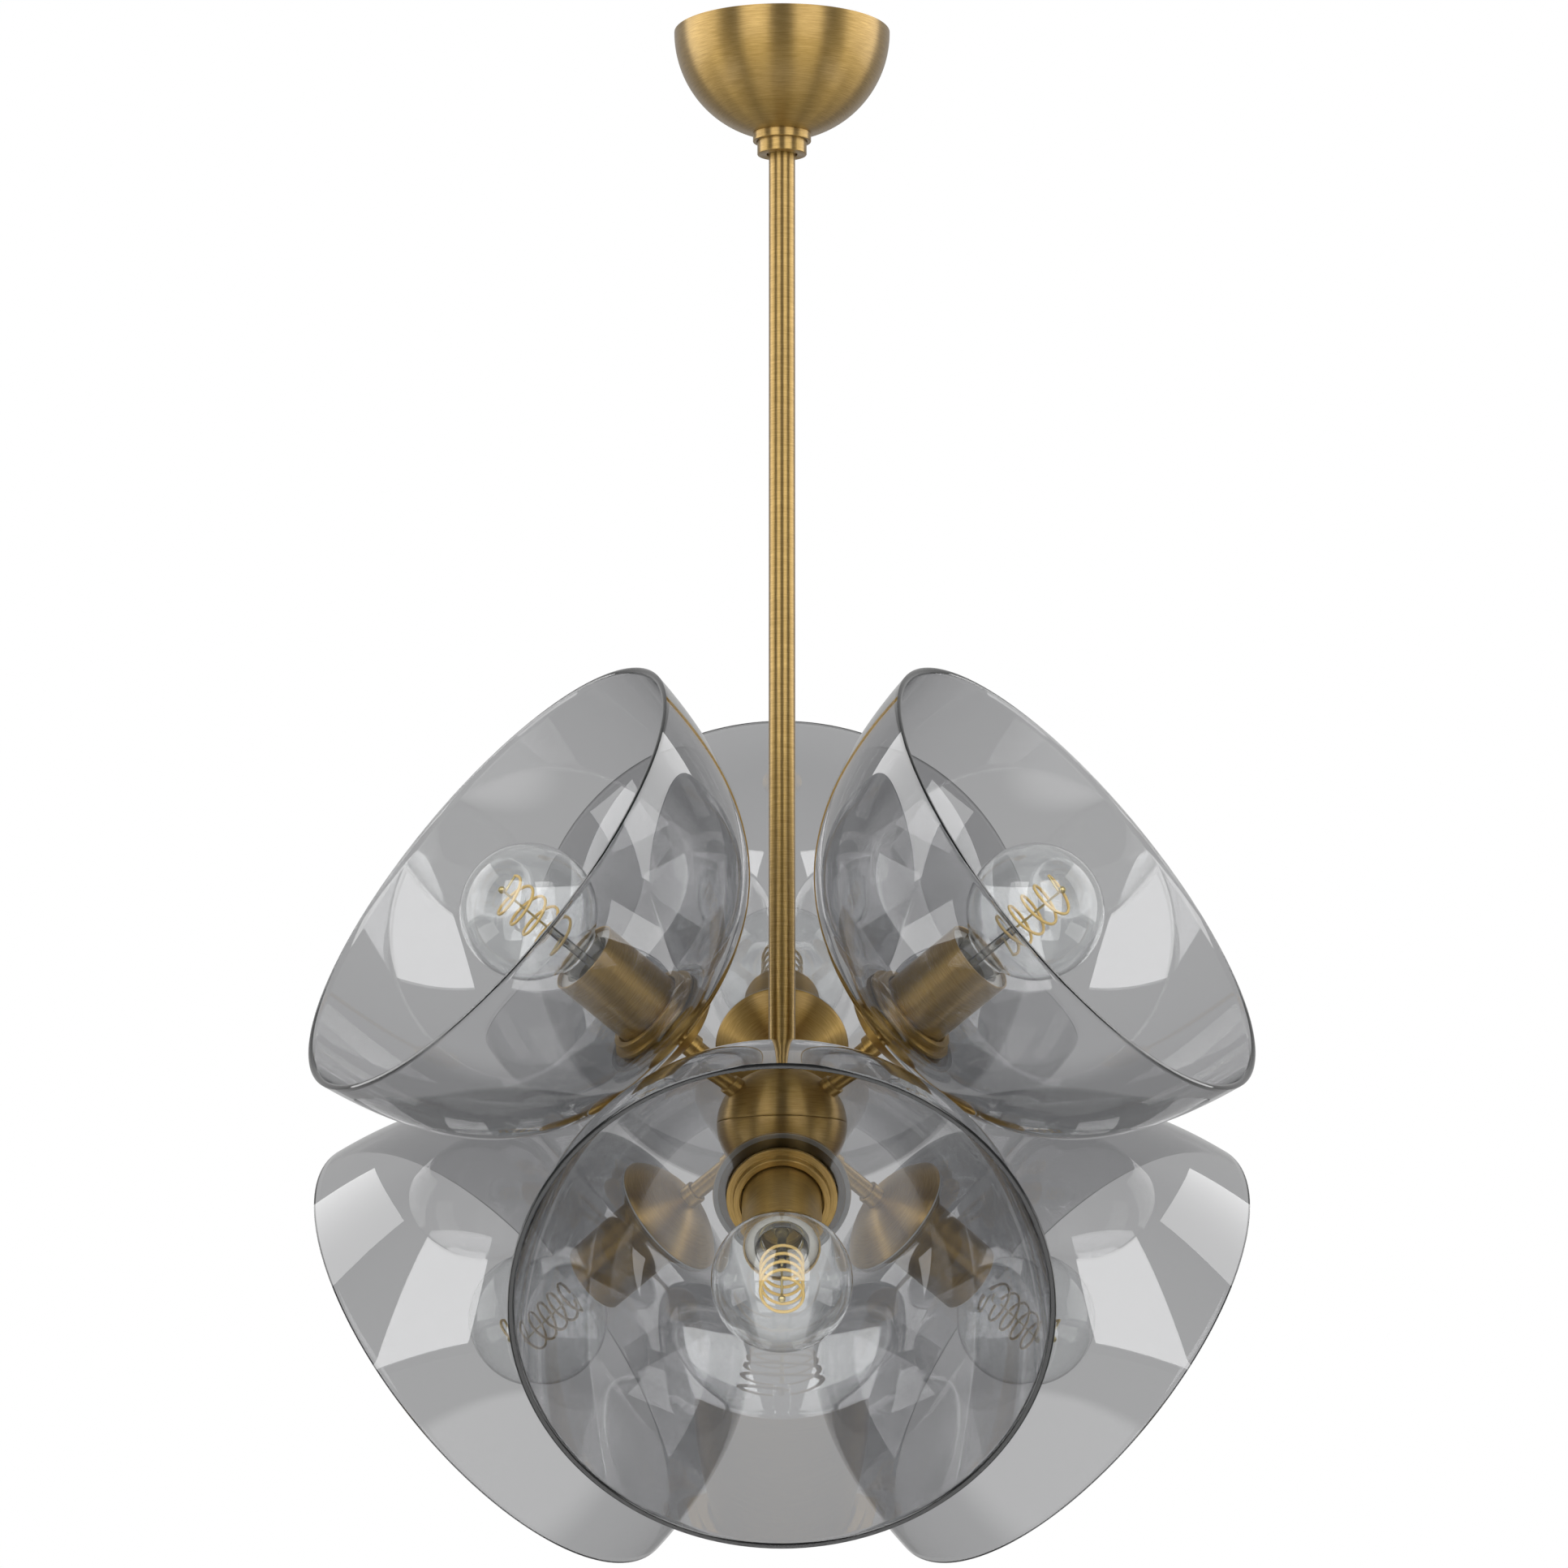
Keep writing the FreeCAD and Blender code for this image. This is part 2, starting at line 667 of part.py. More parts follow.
def filament_path():
    """The spiral as quarter-turn arcs on a cylinder round Z."""
    quarters = int(round(4 * filament_turns))
    edges = []
    for k in range(quarters):
        ends = [spiral_point((k + part) / 4) for part in (0.0, 0.5, 1.0)]
        edges.append(Part.Arc(*ends).toShape())
    return Part.Wire(edges)


def spiral_least_gap():
    """The least gap between points of the spiral that lie half a turn or more apart along it."""
    points_per_turn = 24
    points = [spiral_point(k / points_per_turn) for k in range(int(filament_turns * points_per_turn) + 1)]
    apart = points_per_turn // 2
    least = min(
        first.distanceToPoint(second)
        for index, first in enumerate(points) for second in points[index + apart:])
    return least - 2 * filament_radius


def filament_coil():
    """The spiral filament: a round section carried along the path."""
    path = filament_path()
    start = path.Edges[0]
    section = Part.Wire(Part.makeCircle(
        filament_radius, start.valueAt(start.FirstParameter), start.tangentAt(start.FirstParameter)))
    return path.makePipeShell([section], True, False)


def bulb_filament():
    """The glass stem, its centre wire with a button, and the spiral with its two lead wires."""
    stem_back = base_back + base_contact_height + base_insulator_height
    coil_side = filament_coil_radius
    stem = turned([
        (0, stem_back), (stem_foot_radius, stem_back), (stem_foot_radius, stem_back + stem_foot_height),
        (stem_radius, base_front), (stem_radius, stem_front), (stem_wire_radius, stem_front),
        (stem_wire_radius, filament_front), (button_radius, filament_front),
        (button_radius, filament_front + 2 * button_radius), (0, filament_front + 2 * button_radius),
    ])
    coil = filament_coil()
    end_angle = 360.0 * filament_turns
    back_lead = Part.makeCylinder(
        stem_wire_radius, coil_side, Vector(0, 0, filament_back), Vector(1, 0, 0))
    front_lead = Part.makeCylinder(
        stem_wire_radius, coil_side, Vector(0, 0, filament_front + button_radius), Vector(1, 0, 0))
    front_lead.rotate(Vector(0, 0, 0), Vector(0, 0, 1), end_angle)
    return stem.fuse([back_lead, coil, front_lead])


# ---------------------------------------------------------------- write every piece
def export_all():
    """Writes one STEP file per node."""
    pieces = {
        "canopy": canopy(),
        "canopy_ring": canopy_ring(),
        "crossbar": crossbar(),
        "crossbar_fasteners": crossbar_fasteners(),
        "nipple": nipple(),
        "supply_leads": supply_leads(),
        "swivel_housing": swivel_housing(),
        "swivel_cap": swivel_cap(),
        "swivel_seat": swivel_seat(),
        "swivel_ball": swivel_ball(),
        "rod": rod(),
        "hub_upper": hub_upper(),
        "hub_lower": hub_lower(),
        "arms": arms(),
        "arm_collars": arm_collars(),
        "wiring_harness": wiring_harness(),
        "shade_gaskets": on_every_arm(shade_gasket()),
        "lampholders": on_every_arm(lampholder()),
    }
    repeated = {
        "shade_holder": shade_holder(),
        "shade": shade(),
        "lock_ring": lock_ring(),
        "socket_cup": socket_cup(),
        "bulb_glass": bulb_glass(),
        "bulb_base": bulb_base(),
        "bulb_filament": bulb_filament(),
    }
    for name, shape in repeated.items():
        for number, angles in enumerate(light_angles, start=1):
            pieces[f"{name}_{number}"] = on_arm(shape, angles)
    os.makedirs("parts", exist_ok=True)
    print(f"least gap of the spiral to itself: {spiral_least_gap():.2f} mm")
    for name, shape in pieces.items():
        shape.exportStep(os.path.join("parts", name + ".step"))
        print(f"{name}: {len(shape.Solids)} solids, {shape.Volume:.1f} mm3, valid {shape.isValid()}")


export_all()
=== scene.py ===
"""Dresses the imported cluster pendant: antique brass fittings, smoke glass bowls and clear globe bulbs
with amber spirals, on a plain studio stage. Lengths are in metres in the part's frame: +Z up, origin on the
ceiling at the centre of the canopy's rim, +X to the right and +Y to the back."""

import json
import math

import bpy
import numpy as np
from bpy.props import FloatProperty, FloatVectorProperty, IntProperty, PointerProperty
from mathutils import Matrix, Vector

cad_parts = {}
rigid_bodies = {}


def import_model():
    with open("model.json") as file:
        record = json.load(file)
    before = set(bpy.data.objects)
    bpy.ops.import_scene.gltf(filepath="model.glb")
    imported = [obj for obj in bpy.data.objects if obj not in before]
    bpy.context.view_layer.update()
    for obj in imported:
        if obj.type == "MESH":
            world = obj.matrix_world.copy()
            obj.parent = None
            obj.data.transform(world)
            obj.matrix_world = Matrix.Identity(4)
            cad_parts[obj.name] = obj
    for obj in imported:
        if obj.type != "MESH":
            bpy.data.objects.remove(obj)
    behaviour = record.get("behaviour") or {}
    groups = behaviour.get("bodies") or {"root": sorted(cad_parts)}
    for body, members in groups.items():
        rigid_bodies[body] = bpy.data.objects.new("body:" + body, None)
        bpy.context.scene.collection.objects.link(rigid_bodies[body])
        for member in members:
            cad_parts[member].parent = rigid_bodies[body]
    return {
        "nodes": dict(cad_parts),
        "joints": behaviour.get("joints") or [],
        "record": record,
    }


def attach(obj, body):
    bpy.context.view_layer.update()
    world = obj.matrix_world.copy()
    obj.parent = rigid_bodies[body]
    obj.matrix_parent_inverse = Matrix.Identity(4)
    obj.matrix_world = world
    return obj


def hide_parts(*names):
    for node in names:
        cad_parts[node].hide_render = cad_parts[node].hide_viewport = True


bl_info = {
    "name": "Cluster Pendant Looks",
    "version": (1, 0, 0),
    "blender": (4, 5, 0),
    "location": "3D View > Sidebar > Pendant",
    "description": "Builds the visible surfaces, materials and stage of a cluster pendant",
    "category": "Object",
}

for leftover in list(bpy.data.objects):
    bpy.data.objects.remove(leftover)
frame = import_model()

# Mesh attributes that the brass reads: where a point was on the lathe, and which way it turned there.
PLACE = "turning_place"
WAY = "turning_way"

# The distances in metres below which a point is on its axis, and two places are one.
ON_AXIS = 1e-9
SAME_PLACE = 1e-6

# Segments round each kind of piece, from the widest to the finest.
AROUND_HOLDER = 96
AROUND_BASE = 72
AROUND_ARM = 64
AROUND_STEM = 24
AROUND_BEAD = 16
AROUND_WIRE = 12
AROUND_LEAD = 10

# Eased corners: their steps and their greatest reach as a share of a side.
EASE_STEPS = 4
EASE_LIMIT = 0.45

# Faces that meet at more degrees than this keep a sharp edge.
SHARP_ANGLE = 50

# Points along each kind of outline.
BOWL_STEPS = 90
GLOBE_STEPS = 70
ARC_STEPS = 60
INNER_ARC_STEPS = 30
CONE_STEPS = 24
SOCKET_STEPS = 20
NECK_STEPS = 14
BEAD_STEPS = 13
CROWN_STEPS = 9
SPIRAL_STEPS_PER_TURN = 40

# The arms stand in two even sets. A set's first arm points this many degrees round from +X.
ARMS_IN_A_SET = 3
UPPER_AZIMUTH = 90
LOWER_AZIMUTH = 270

SENSOR_WIDTH = 36.0

# The lamps come in pairs, left and right: name, degrees round from the camera's side, degrees up, distance
# from the object's middle, width and height, the setting of their power and whether glass shows them.
OBJECT_MIDDLE = -0.55
LAMPS = (
    ("front", 29.0, 18.0, 2.7, (1.45, 2.5), "front_power", True),
    ("side", 97.0, 22.0, 2.6, (2.3, 2.6), "side_power", False),
    ("low", 79.0, -30.0, 1.7, (1.1, 0.8), "low_power", False),
)

# The brushed pattern: its values between which the brass goes from its dark tone to its light one, how many
# finer sets of lines lie in the widest one, and how strong each is beside the one before.
LINE_CONTRAST = (0.22, 0.78)
LINE_DETAIL = 4.0
LINE_FINENESS = 0.7

# A quarter turn, so that highlights stretch across the lathe's lines and not along them.
QUARTER_TURN = 0.25

# Patches of smoother and rougher surface: how finely they break up, and on plain pieces their size in metres
# and how far the roughness goes either way.
PATCH_DETAIL = 3.0
PLAIN_PATCH = 0.01
PLAIN_SPREAD = 0.05

WHITE = (1, 1, 1, 1)

# Steps in the room's light, by how far a ray's direction runs to the back (Y) or to either side (X).
FRONT_TO_BACK = (-0.15, 0.35)
MIDDLE_TO_SIDE = (0.86, 0.94)


# ---------------------------------------------------------------- settings
def amount(name, value, description, **limits):
    """A plain number setting."""
    return FloatProperty(name=name, description=description, default=value, **limits)


def length(name, millimetres, description):
    """A length setting, with its default given in millimetres."""
    return amount(name, millimetres / 1000, description, unit="LENGTH", precision=5)


def turn(name, degrees, description):
    """An angle setting, with its default given in degrees."""
    return amount(name, math.radians(degrees), description, unit="ROTATION")


def share(name, value, description):
    """A number setting between 0 and 1."""
    return amount(name, value, description, min=0.0, max=1.0)


def linear(hex_colour):
    """The linear colour of an sRGB hex code."""
    code = hex_colour.lstrip("#")
    parts = [int(code[k:k + 2], 16) / 255 for k in (0, 2, 4)]
    return tuple(c / 12.92 if c <= 0.04045 else ((c + 0.055) / 1.055) ** 2.4 for c in parts)


def colour(name, hex_colour, description):
    """A colour setting, with its default given as an sRGB hex code."""
    return FloatVectorProperty(name=name, description=description, default=linear(hex_colour),
                               subtype="COLOR", size=3, min=0.0, max=1.0)


class PendantSizes(bpy.types.PropertyGroup):
    """The driving sizes of the surfaces."""
    canopy_radius: length("Canopy radius", 65.0, "Outer radius of the half-ball canopy")
    canopy_wall: length("Canopy wall", 1.2, "Thickness of the spun canopy")
    canopy_hole: length("Canopy hole", 15.2, "Radius of the hole that passes the swivel")
    canopy_ring_radius: length("Canopy ring radius", 17.5, "Outer radius of the ring under the canopy")
    canopy_ring_height: length("Canopy ring height", 5.2, "Height of the ring under the canopy")
    housing_radius: length("Housing radius", 14.85, "Outer radius of the swivel housing")
    housing_exposed: length("Housing exposed", 8.0, "Height of the housing below the ring")
    housing_hidden: length("Housing hidden", 11.0, "Height of the housing inside the canopy")
    housing_bore: length("Housing bore", 11.55, "Radius of the housing's upper bore")
    housing_mouth: length("Housing mouth", 9.3, "Radius of the opening round the rod")
    ball_socket: length("Ball socket", 11.3, "Radius of the socket that the ball sits in")
    rod_radius: length("Rod radius", 7.9, "Outer radius of the rod")
    rod_bore: length("Rod bore", 6.3, "Inner radius of the rod")
    rod_top: length("Rod top", -68.8, "Height of the rod's top end")
    hub_height: length("Hub height", -659.0, "Height of the hub's centre")
    hub_radius: length("Hub radius", 39.3, "Outer radius of the ball hub")
    hub_wall: length("Hub wall", 3.5, "Thickness of the hub's shell")
    hub_seam: length("Hub seam", 0.3, "Gap between the hub's halves")
    rod_engagement: length("Rod engagement", 6.3, "Depth of the rod in the hub")
    arm_radius: length("Arm radius", 5.5, "Outer radius of an arm")
    arm_bore: length("Arm bore", 4.0, "Inner radius of an arm")
    arm_start: length("Arm start", 31.8, "Place of an arm's inner end")
    arm_end: length("Arm end", 112.0, "Place of an arm's outer end")
    collar_radius: length("Collar radius", 7.25, "Outer radius of an arm's collars")
    collar_height: length("Collar height", 6.2, "Height of the collar on the hub")
    outer_collar_height: length("Outer collar height", 7.5, "Height of the collar behind the holder")
    holder_neck: length("Holder neck", 78.0, "Place of the holder's back")
    holder_depth: length("Holder depth", 17.0, "Depth of the holder")
    holder_rim: length("Holder rim radius", 40.0, "Radius of the holder's rim")
    holder_wall: length("Holder wall", 1.2, "Thickness of the holder")
    holder_flange: length("Holder flange", 3.0, "Width of the holder's turned-in flange")
    holder_bulge: length("Holder bulge", 3.2, "How far the holder's wall bulges")
    glass_back: length("Glass back", 96.0, "Place where the glass bears on its gasket")
    glass_bearing: length("Glass bearing radius", 37.0, "Radius where the glass bears on its gasket")
    glass_seat_gap: length("Glass seat gap", 0.12, "Clearance of the glass from its gasket")
    glass_wall: length("Glass wall", 3.5, "Thickness of the bowl")
    glass_hole: length("Glass hole", 23.3, "Radius of the bowl's hole")
    shade_depth: length("Shade depth", 141.0, "Depth of the bowl from its bearing to its rim")
    shade_radius: length("Shade radius", 152.5, "Radius of the bowl at its rim")
    shade_crown: length("Shade crown", 0.9, "Height of the rim's fire-polished rounding")
    shade_semi_depth: length("Shade semi-depth", 257.0, "Half length of the bowl's superellipse")
    ring_flange_radius: length("Lock ring radius", 32.0, "Radius of the lock ring's flange")
    ring_flange: length("Lock ring flange", 2.8, "Thickness of the lock ring's flange")
    ring_step_radius: length("Lock ring step radius", 28.0, "Radius of the lock ring's step")
    ring_step: length("Lock ring step", 5.2, "Height of the lock ring's step")
    ring_bore: length("Lock ring bore", 23.25, "Radius of the lock ring's thread")
    ring_mouth: length("Lock ring mouth", 24.1, "Radius of the lock ring's mouth")
    ring_thread: length("Lock ring thread", 3.2, "Height of the lock ring's thread")
    ring_gap: length("Lock ring gap", 0.35, "Clearance of the lock ring from the glass")
    cup_radius: length("Cup radius", 22.9, "Outer radius of the lamp cup")
    cup_wall: length("Cup wall", 1.2, "Thickness of the lamp cup")
    cup_boss: length("Cup boss", 7.3, "Height of the boss behind the cup")
    cup_length: length("Cup length", 72.5, "Length of the cup")
    bulb_radius: length("Bulb radius", 40.0, "Radius of the globe")
    bulb_centre: length("Bulb centre", 202.5, "Place of the globe's centre")
    bulb_wall: length("Bulb wall", 1.0, "Thickness of the bulb's glass")
    bulb_neck: length("Bulb neck", 15.5, "Radius of the bulb's neck")
    bulb_base_gap: length("Bulb base gap", 0.05, "Clearance of the bulb's glass in its base")
    bulb_neck_front: length("Bulb neck front", 164.0, "Place where the neck starts to widen")
    bulb_shoulder: length("Bulb shoulder", 20.9, "Radius where the neck meets the globe")
    glass_in_base: length("Glass in base", 3.5, "Depth of the bulb's glass in its base")
    base_radius: length("Base radius", 13.2, "Crest radius of the screw base")
    base_wall: length("Base wall", 0.5, "Thickness of the screw base")
    base_back: length("Base back", 124.5, "Place of the base's contact")
    contact_radius: length("Contact radius", 5.0, "Radius of the base's centre contact")
    contact_edge: length("Contact edge", 0.4, "Broken edge of the centre contact")
    contact_height: length("Contact height", 1.6, "Height of the centre contact")
    insulator_height: length("Insulator height", 4.0, "Height of the base's insulator")
    base_front: length("Base front", 151.5, "Place of the base's front edge")
    thread_depth: length("Thread depth", 0.9, "Depth of the base's thread")
    thread_pitch: length("Thread pitch", 3.62, "Pitch of the base's thread")
    thread_start: length("Thread start", 3.0, "Height over which the thread deepens")
    thread_end: length("Thread end", 4.0, "Height over which the thread runs out")
    stem_foot: length("Stem foot", 8.5, "Radius of the stem's foot")
    stem_edge: share("Stem edge", 0.97, "Radius above the foot's edge, as a share of the foot's")
    stem_edge_height: length("Stem edge height", 1.2, "Height of the foot's edge")
    stem_waist: share("Stem waist", 0.6, "Radius of the flare's waist, as a share of the foot's")
    stem_waist_height: length("Stem waist height", 8.0, "Height of the flare's waist above the foot")
    stem_tip: share("Stem tip", 0.7, "Radius of the stem's front end, as a share of the stem's")
    stem_tip_height: length("Stem tip height", 1.0, "Height of the stem's eased tip")
    stem_radius: length("Stem radius", 2.6, "Radius of the glass stem")
    stem_front: length("Stem front", 186.0, "Place of the stem's front end")
    stem_wire: length("Stem wire", 0.7, "Radius of the wires on the stem")
    button: length("Button", 2.2, "Radius of the bead on the stem's wire")
    spiral_radius: length("Spiral radius", 12.0, "Radius of the spiral filament")
    spiral_thickness: length("Spiral thickness", 0.9, "Radius of the filament's strand")
    spiral_back: length("Spiral back", 177.0, "Place of the spiral's back end")
    spiral_front: length("Spiral front", 221.0, "Place of the spiral's front end")
    edge_round: length("Edge rounding", 0.45, "Radius of the turned parts' broken edges")
    upper_elevation: turn("Upper elevation", 33.3, "How far the upper arms rise")
    lower_elevation: turn("Lower elevation", 33.0, "How far the lower arms fall")
    shade_power: amount("Shade power", 2.89, "Exponent of the bowl's superellipse")
    spiral_turns: amount("Spiral turns", 4.5, "Turns of the spiral filament")


class PendantFinish(bpy.types.PropertyGroup):
    """The colours and finishes."""
    brass: colour("Brass", "#BF9F5E", "Colour of the antique brass")
    brass_dark: colour("Brass, dark", "#957639", "Colour of the brass in the brushed lines")
    brass_smoothest: share("Brass smoothest", 0.36, "Roughness of the brass in its smoothest patches")
    brass_roughest: share("Brass roughest", 0.46, "Roughness of the brass in its roughest patches")
    brass_streak: share("Brass streak", 0.95, "How far the brushing spreads a highlight across its lines")
    brass_lacquer: share("Brass lacquer", 0.5, "Weight of the clear lacquer on the brass")
    lacquer_roughness: share("Lacquer roughness", 0.3, "Roughness of the lacquer")
    brush_length: length("Brush length", 1000 / 90, "Length of a brushed line")
    brush_spacing: length("Brush spacing", 1000 / 90 / 22, "Widest spacing of the brushed lines")
    brush_relief: length("Brush relief", 0.06, "Height of the brushed lines")
    brush_strength: share("Brush strength", 0.3, "How much of the lines' relief shows")
    patch_size: length("Patch size", 1000 / 35, "Width of the patches of smoother and rougher brass")
    smoke: colour("Smoke", "#9B9CA0", "Colour that the bowl's glass lets through")
    smoke_density: amount("Smoke density", 168.0, "Absorption of the smoke glass per metre")
    lustre: share("Lustre", 1.0, "Weight of the thin metal oxide film on the smoke glass")
    clear: colour("Clear glass", "#FDFEFE", "Colour that the bulb's glass lets through")
    amber: colour("Amber", "#FFC450", "Colour of the filament's coating")
    nickel: colour("Base metal", "#C6B47E", "Colour of the bulb's screw base")
    ceramic: colour("Ceramic", "#E8E4DA", "Colour of the lampholder")
    steel: colour("Zinc", "#B4B6B8", "Colour of the plated steel")
    nylon: colour("Nylon", "#E2DFD2", "Colour of the swivel's seat")
    insulation: colour("Insulation", "#2A2A2C", "Colour of the wires")
    silicone: colour("Silicone", "#C8C8C4", "Colour of the gaskets")
    glass_ior: amount("Glass ior", 1.5, "Index of refraction of the glass and its film")


class PendantStage(bpy.types.PropertyGroup):
    """The studio."""
    camera_distance: length("Camera distance", 3940.0, "Distance of the camera in front of the rod")
    camera_height: length("Camera height", -1100.0, "Height of the camera")
    camera_offset: length("Camera offset", 1.2, "How far the camera stands to the right of the rod")
    camera_pitch: turn("Camera pitch", 9.236, "How far the camera looks up")
    focal_length: amount("Focal length", 154.66, "Lens in millimetres on a 36 mm sensor")
    floor_height: length("Floor height", -1500.0, "Height of the floor")
    floor_half: length("Floor half", 6000.0, "Half of the floor's width")
    floor_colour: colour("Floor colour", "#E6E6E6", "Colour of the matt floor")
    floor_roughness: share("Floor roughness", 0.8, "Roughness of the matt floor")
    floor_shown: share("Floor shown", 0.85, "Radiance that evens out the floor for the eye")
    floor_evened: share("Floor evened", 0.6, "How far the floor is evened out for the eye")
    pool_forward: length("Pool forward", 700.0, "How far in front of the object the pool of light lies")
    pool_inner: length("Pool inner", 600.0, "Radius of the pool's bright middle")
    pool_outer: length("Pool outer", 950.0, "Radius where the pool ends")
    pool_light: amount("Pool light", 1.2, "Radiance of the pool of light in reflections")
    pool_dark: share("Pool dark", 0.35, "Radiance of the floor round the pool in reflections")
    front_power: amount("Front lamps", 32.0, "Power of each front softbox in watts")
    side_power: amount("Side lamps", 39.0, "Power of each side softbox in watts")
    low_power: amount("Low lamps", 5.0, "Power of each low softbox in watts")
    fill: share("Fill", 0.55, "Radiance of the room that lights matt surfaces")
    front_dark: share("Front", 0.18, "Radiance of the dim front of the room in reflections")
    back_light: share("Back", 0.5, "Radiance of the backdrop in reflections")
    seen_through: share("Seen through glass", 0.58, "Radiance of the pale backdrop as the glass shows it")
    side_through: amount("Side through", 1.25, "Radiance of the lit sides as the glass shows them")
    around: IntProperty(name="Around", description="Segments round canopy, hub and bowls", default=160)


# ---------------------------------------------------------------- surfaces
def rounded(corners, radius):
    """The closed outline through (radius, place) corners with each corner eased by a parabola.

    A corner P between neighbours N and M becomes (1-t)^2 A + 2t(1-t) P + t^2 B for t in 0..1, where A and B
    lie on its sides, as far off as the rounding or, where a side is short, EASE_LIMIT of it."""
    points = np.array(corners, float)
    before = np.roll(points, 1, 0) - points
    after = np.roll(points, -1, 0) - points
    reach_before = np.linalg.norm(before, axis=1, keepdims=True)
    reach_after = np.linalg.norm(after, axis=1, keepdims=True)
    cut = np.minimum(radius, EASE_LIMIT * np.minimum(reach_before, reach_after))
    start = (points + before / reach_before * cut)[:, None, :]
    end = (points + after / reach_after * cut)[:, None, :]
    t = np.linspace(0, 1, EASE_STEPS + 1)[None, :, None]
    eased = (1 - t) ** 2 * start + 2 * t * (1 - t) * points[:, None, :] + t ** 2 * end
    return eased.reshape(-1, 2)


def arc(radius, middle, first, last, steps):
    """Points of an arc, (R cos t, m + R sin t) for t from first to last, with its centre on the axis at m."""
    t = np.linspace(first, last, steps)[:, None]
    return np.concatenate([radius * np.cos(t), middle + radius * np.sin(t)], 1)


def arc_through(start, end, bulge, steps):
    """Points of the circular arc from start to end whose middle lies bulge to the chord's right-hand side.

    With half chord h the radius is R = (h^2 + b^2) / 2b, and the points are spread evenly in angle."""
    a, b = np.array(start, float), np.array(end, float)
    half = np.linalg.norm(b - a) / 2
    along = (b - a) / (2 * half)
    side = np.array([along[1], -along[0]])
    radius = (half ** 2 + bulge ** 2) / (2 * bulge)
    centre = (a + b) / 2 + side * (bulge - radius)
    spread = math.atan2(half, radius - bulge)
    angles = np.linspace(-spread, spread, steps)[:, None]
    return centre + radius * (np.sin(angles) * along + np.cos(angles) * side)


def new_mesh_object(name, points, quads, made_points, ways):
    """A smooth object from points and four-cornered faces, some of which may have two corners in common.
    The points before placing and the lathe's way at each point are kept as attributes for the materials."""
    twins = quads == np.roll(quads, -1, 1)
    whole = quads[twins.sum(1) == 0]
    pinched = twins.sum(1) == 1
    triangles = quads[pinched][~twins[pinched]].reshape(-1, 3)
    mesh = bpy.data.meshes.new(name)
    mesh.from_pydata(points.tolist(), [], whole.tolist() + triangles.tolist())
    for label, vectors in ((PLACE, made_points), (WAY, ways)):
        mesh.attributes.new(label, "FLOAT_VECTOR", "POINT").data.foreach_set(
            "vector", vectors.astype(np.float32).ravel())
    mesh.polygons.foreach_set("use_smooth", np.ones(len(mesh.polygons), bool))
    mesh.set_sharp_from_angle(angle=math.radians(SHARP_ANGLE))
    made = bpy.data.objects.new(name, mesh)
    bpy.context.scene.collection.objects.link(made)
    return made


def turned(name, outline, placing, around, closed=True, radius_change=None):
    """A surface of revolution: P(i, a) = (r_i cos a, r_i sin a, z_i), carried by the placing matrix.

    An open outline starts and ends on the axis, where its points are one. radius_change(z, a) adds to the
    radius where it is given, as for a thread."""
    ring = np.array(outline, float)
    following = np.roll(ring, -1, 0)
    if np.sum(ring[:, 0] * following[:, 1] - following[:, 0] * ring[:, 1]) < 0:
        ring = ring[::-1]
    angles = np.arange(around) * 2 * math.pi / around
    radii = np.repeat(ring[:, :1], around, 1)
    places = np.repeat(ring[:, 1:], around, 1)
    if radius_change is not None:
        radii = radii + radius_change(ring, angles)
    local = np.stack([radii * np.cos(angles), radii * np.sin(angles), places], -1).reshape(-1, 3)
    index = np.arange(len(local)).reshape(len(ring), around)
    on_axis = ring[:, 0] < ON_AXIS
    index[on_axis] = index[on_axis][:, :1]
    rows, next_rows = (index, np.roll(index, -1, 0)) if closed else (index[:-1], index[1:])
    return placed_object(name, local, rows, next_rows, placing)


def placed_object(name, local, rows, next_rows, placing):
    """The object of the quads between rows of numbered local points, carried by the placing matrix.

    Each point's way (-y, x, 0) runs round the local axis."""
    quads = np.stack([rows, np.roll(rows, -1, 1), np.roll(next_rows, -1, 1), next_rows], -1)
    used, numbered = np.unique(quads, return_inverse=True)
    local = local[used]
    matrix = np.array(placing)
    ways = (local * [1, 1, 0])[:, [1, 0, 2]] * [-1, 1, 0]
    ways[np.linalg.norm(ways, axis=1) < ON_AXIS] = [1, 0, 0]
    points = local @ matrix[:3, :3].T + matrix[:3, 3]
    return new_mesh_object(name, points, numbered.reshape(-1, 4), local, ways @ matrix[:3, :3].T)


def tube(name, centres, radius, placing, around=AROUND_WIRE):
    """A round strand: circles of the radius round the path's points, square to it, closed at both ends.

    The section's axes come from the path's direction and the outward direction from Z."""
    path = np.array(centres, float)
    along = np.gradient(path, axis=0)
    along /= np.linalg.norm(along, axis=1, keepdims=True)
    outward = path * [1, 1, 0]
    outward -= np.sum(outward * along, 1, keepdims=True) * along
    outward /= np.linalg.norm(outward, axis=1, keepdims=True)
    across = np.cross(along, outward)
    ends = np.array([0.0] + [1.0] * len(path) + [0.0])
    rows = np.concatenate([[0], np.arange(len(path)), [len(path) - 1]])
    angles = np.arange(around) * 2 * math.pi / around
    cosine, sine = np.cos(angles)[None, :, None], np.sin(angles)[None, :, None]
    circle = cosine * outward[rows][:, None] + sine * across[rows][:, None]
    local = (path[rows][:, None] + radius * ends[:, None, None] * circle).reshape(-1, 3)
    index = np.arange(len(local)).reshape(len(rows), around)
    index[[0, -1]] = index[[0, -1]][:, :1]
    return placed_object(name, local, index[:-1], index[1:], placing)


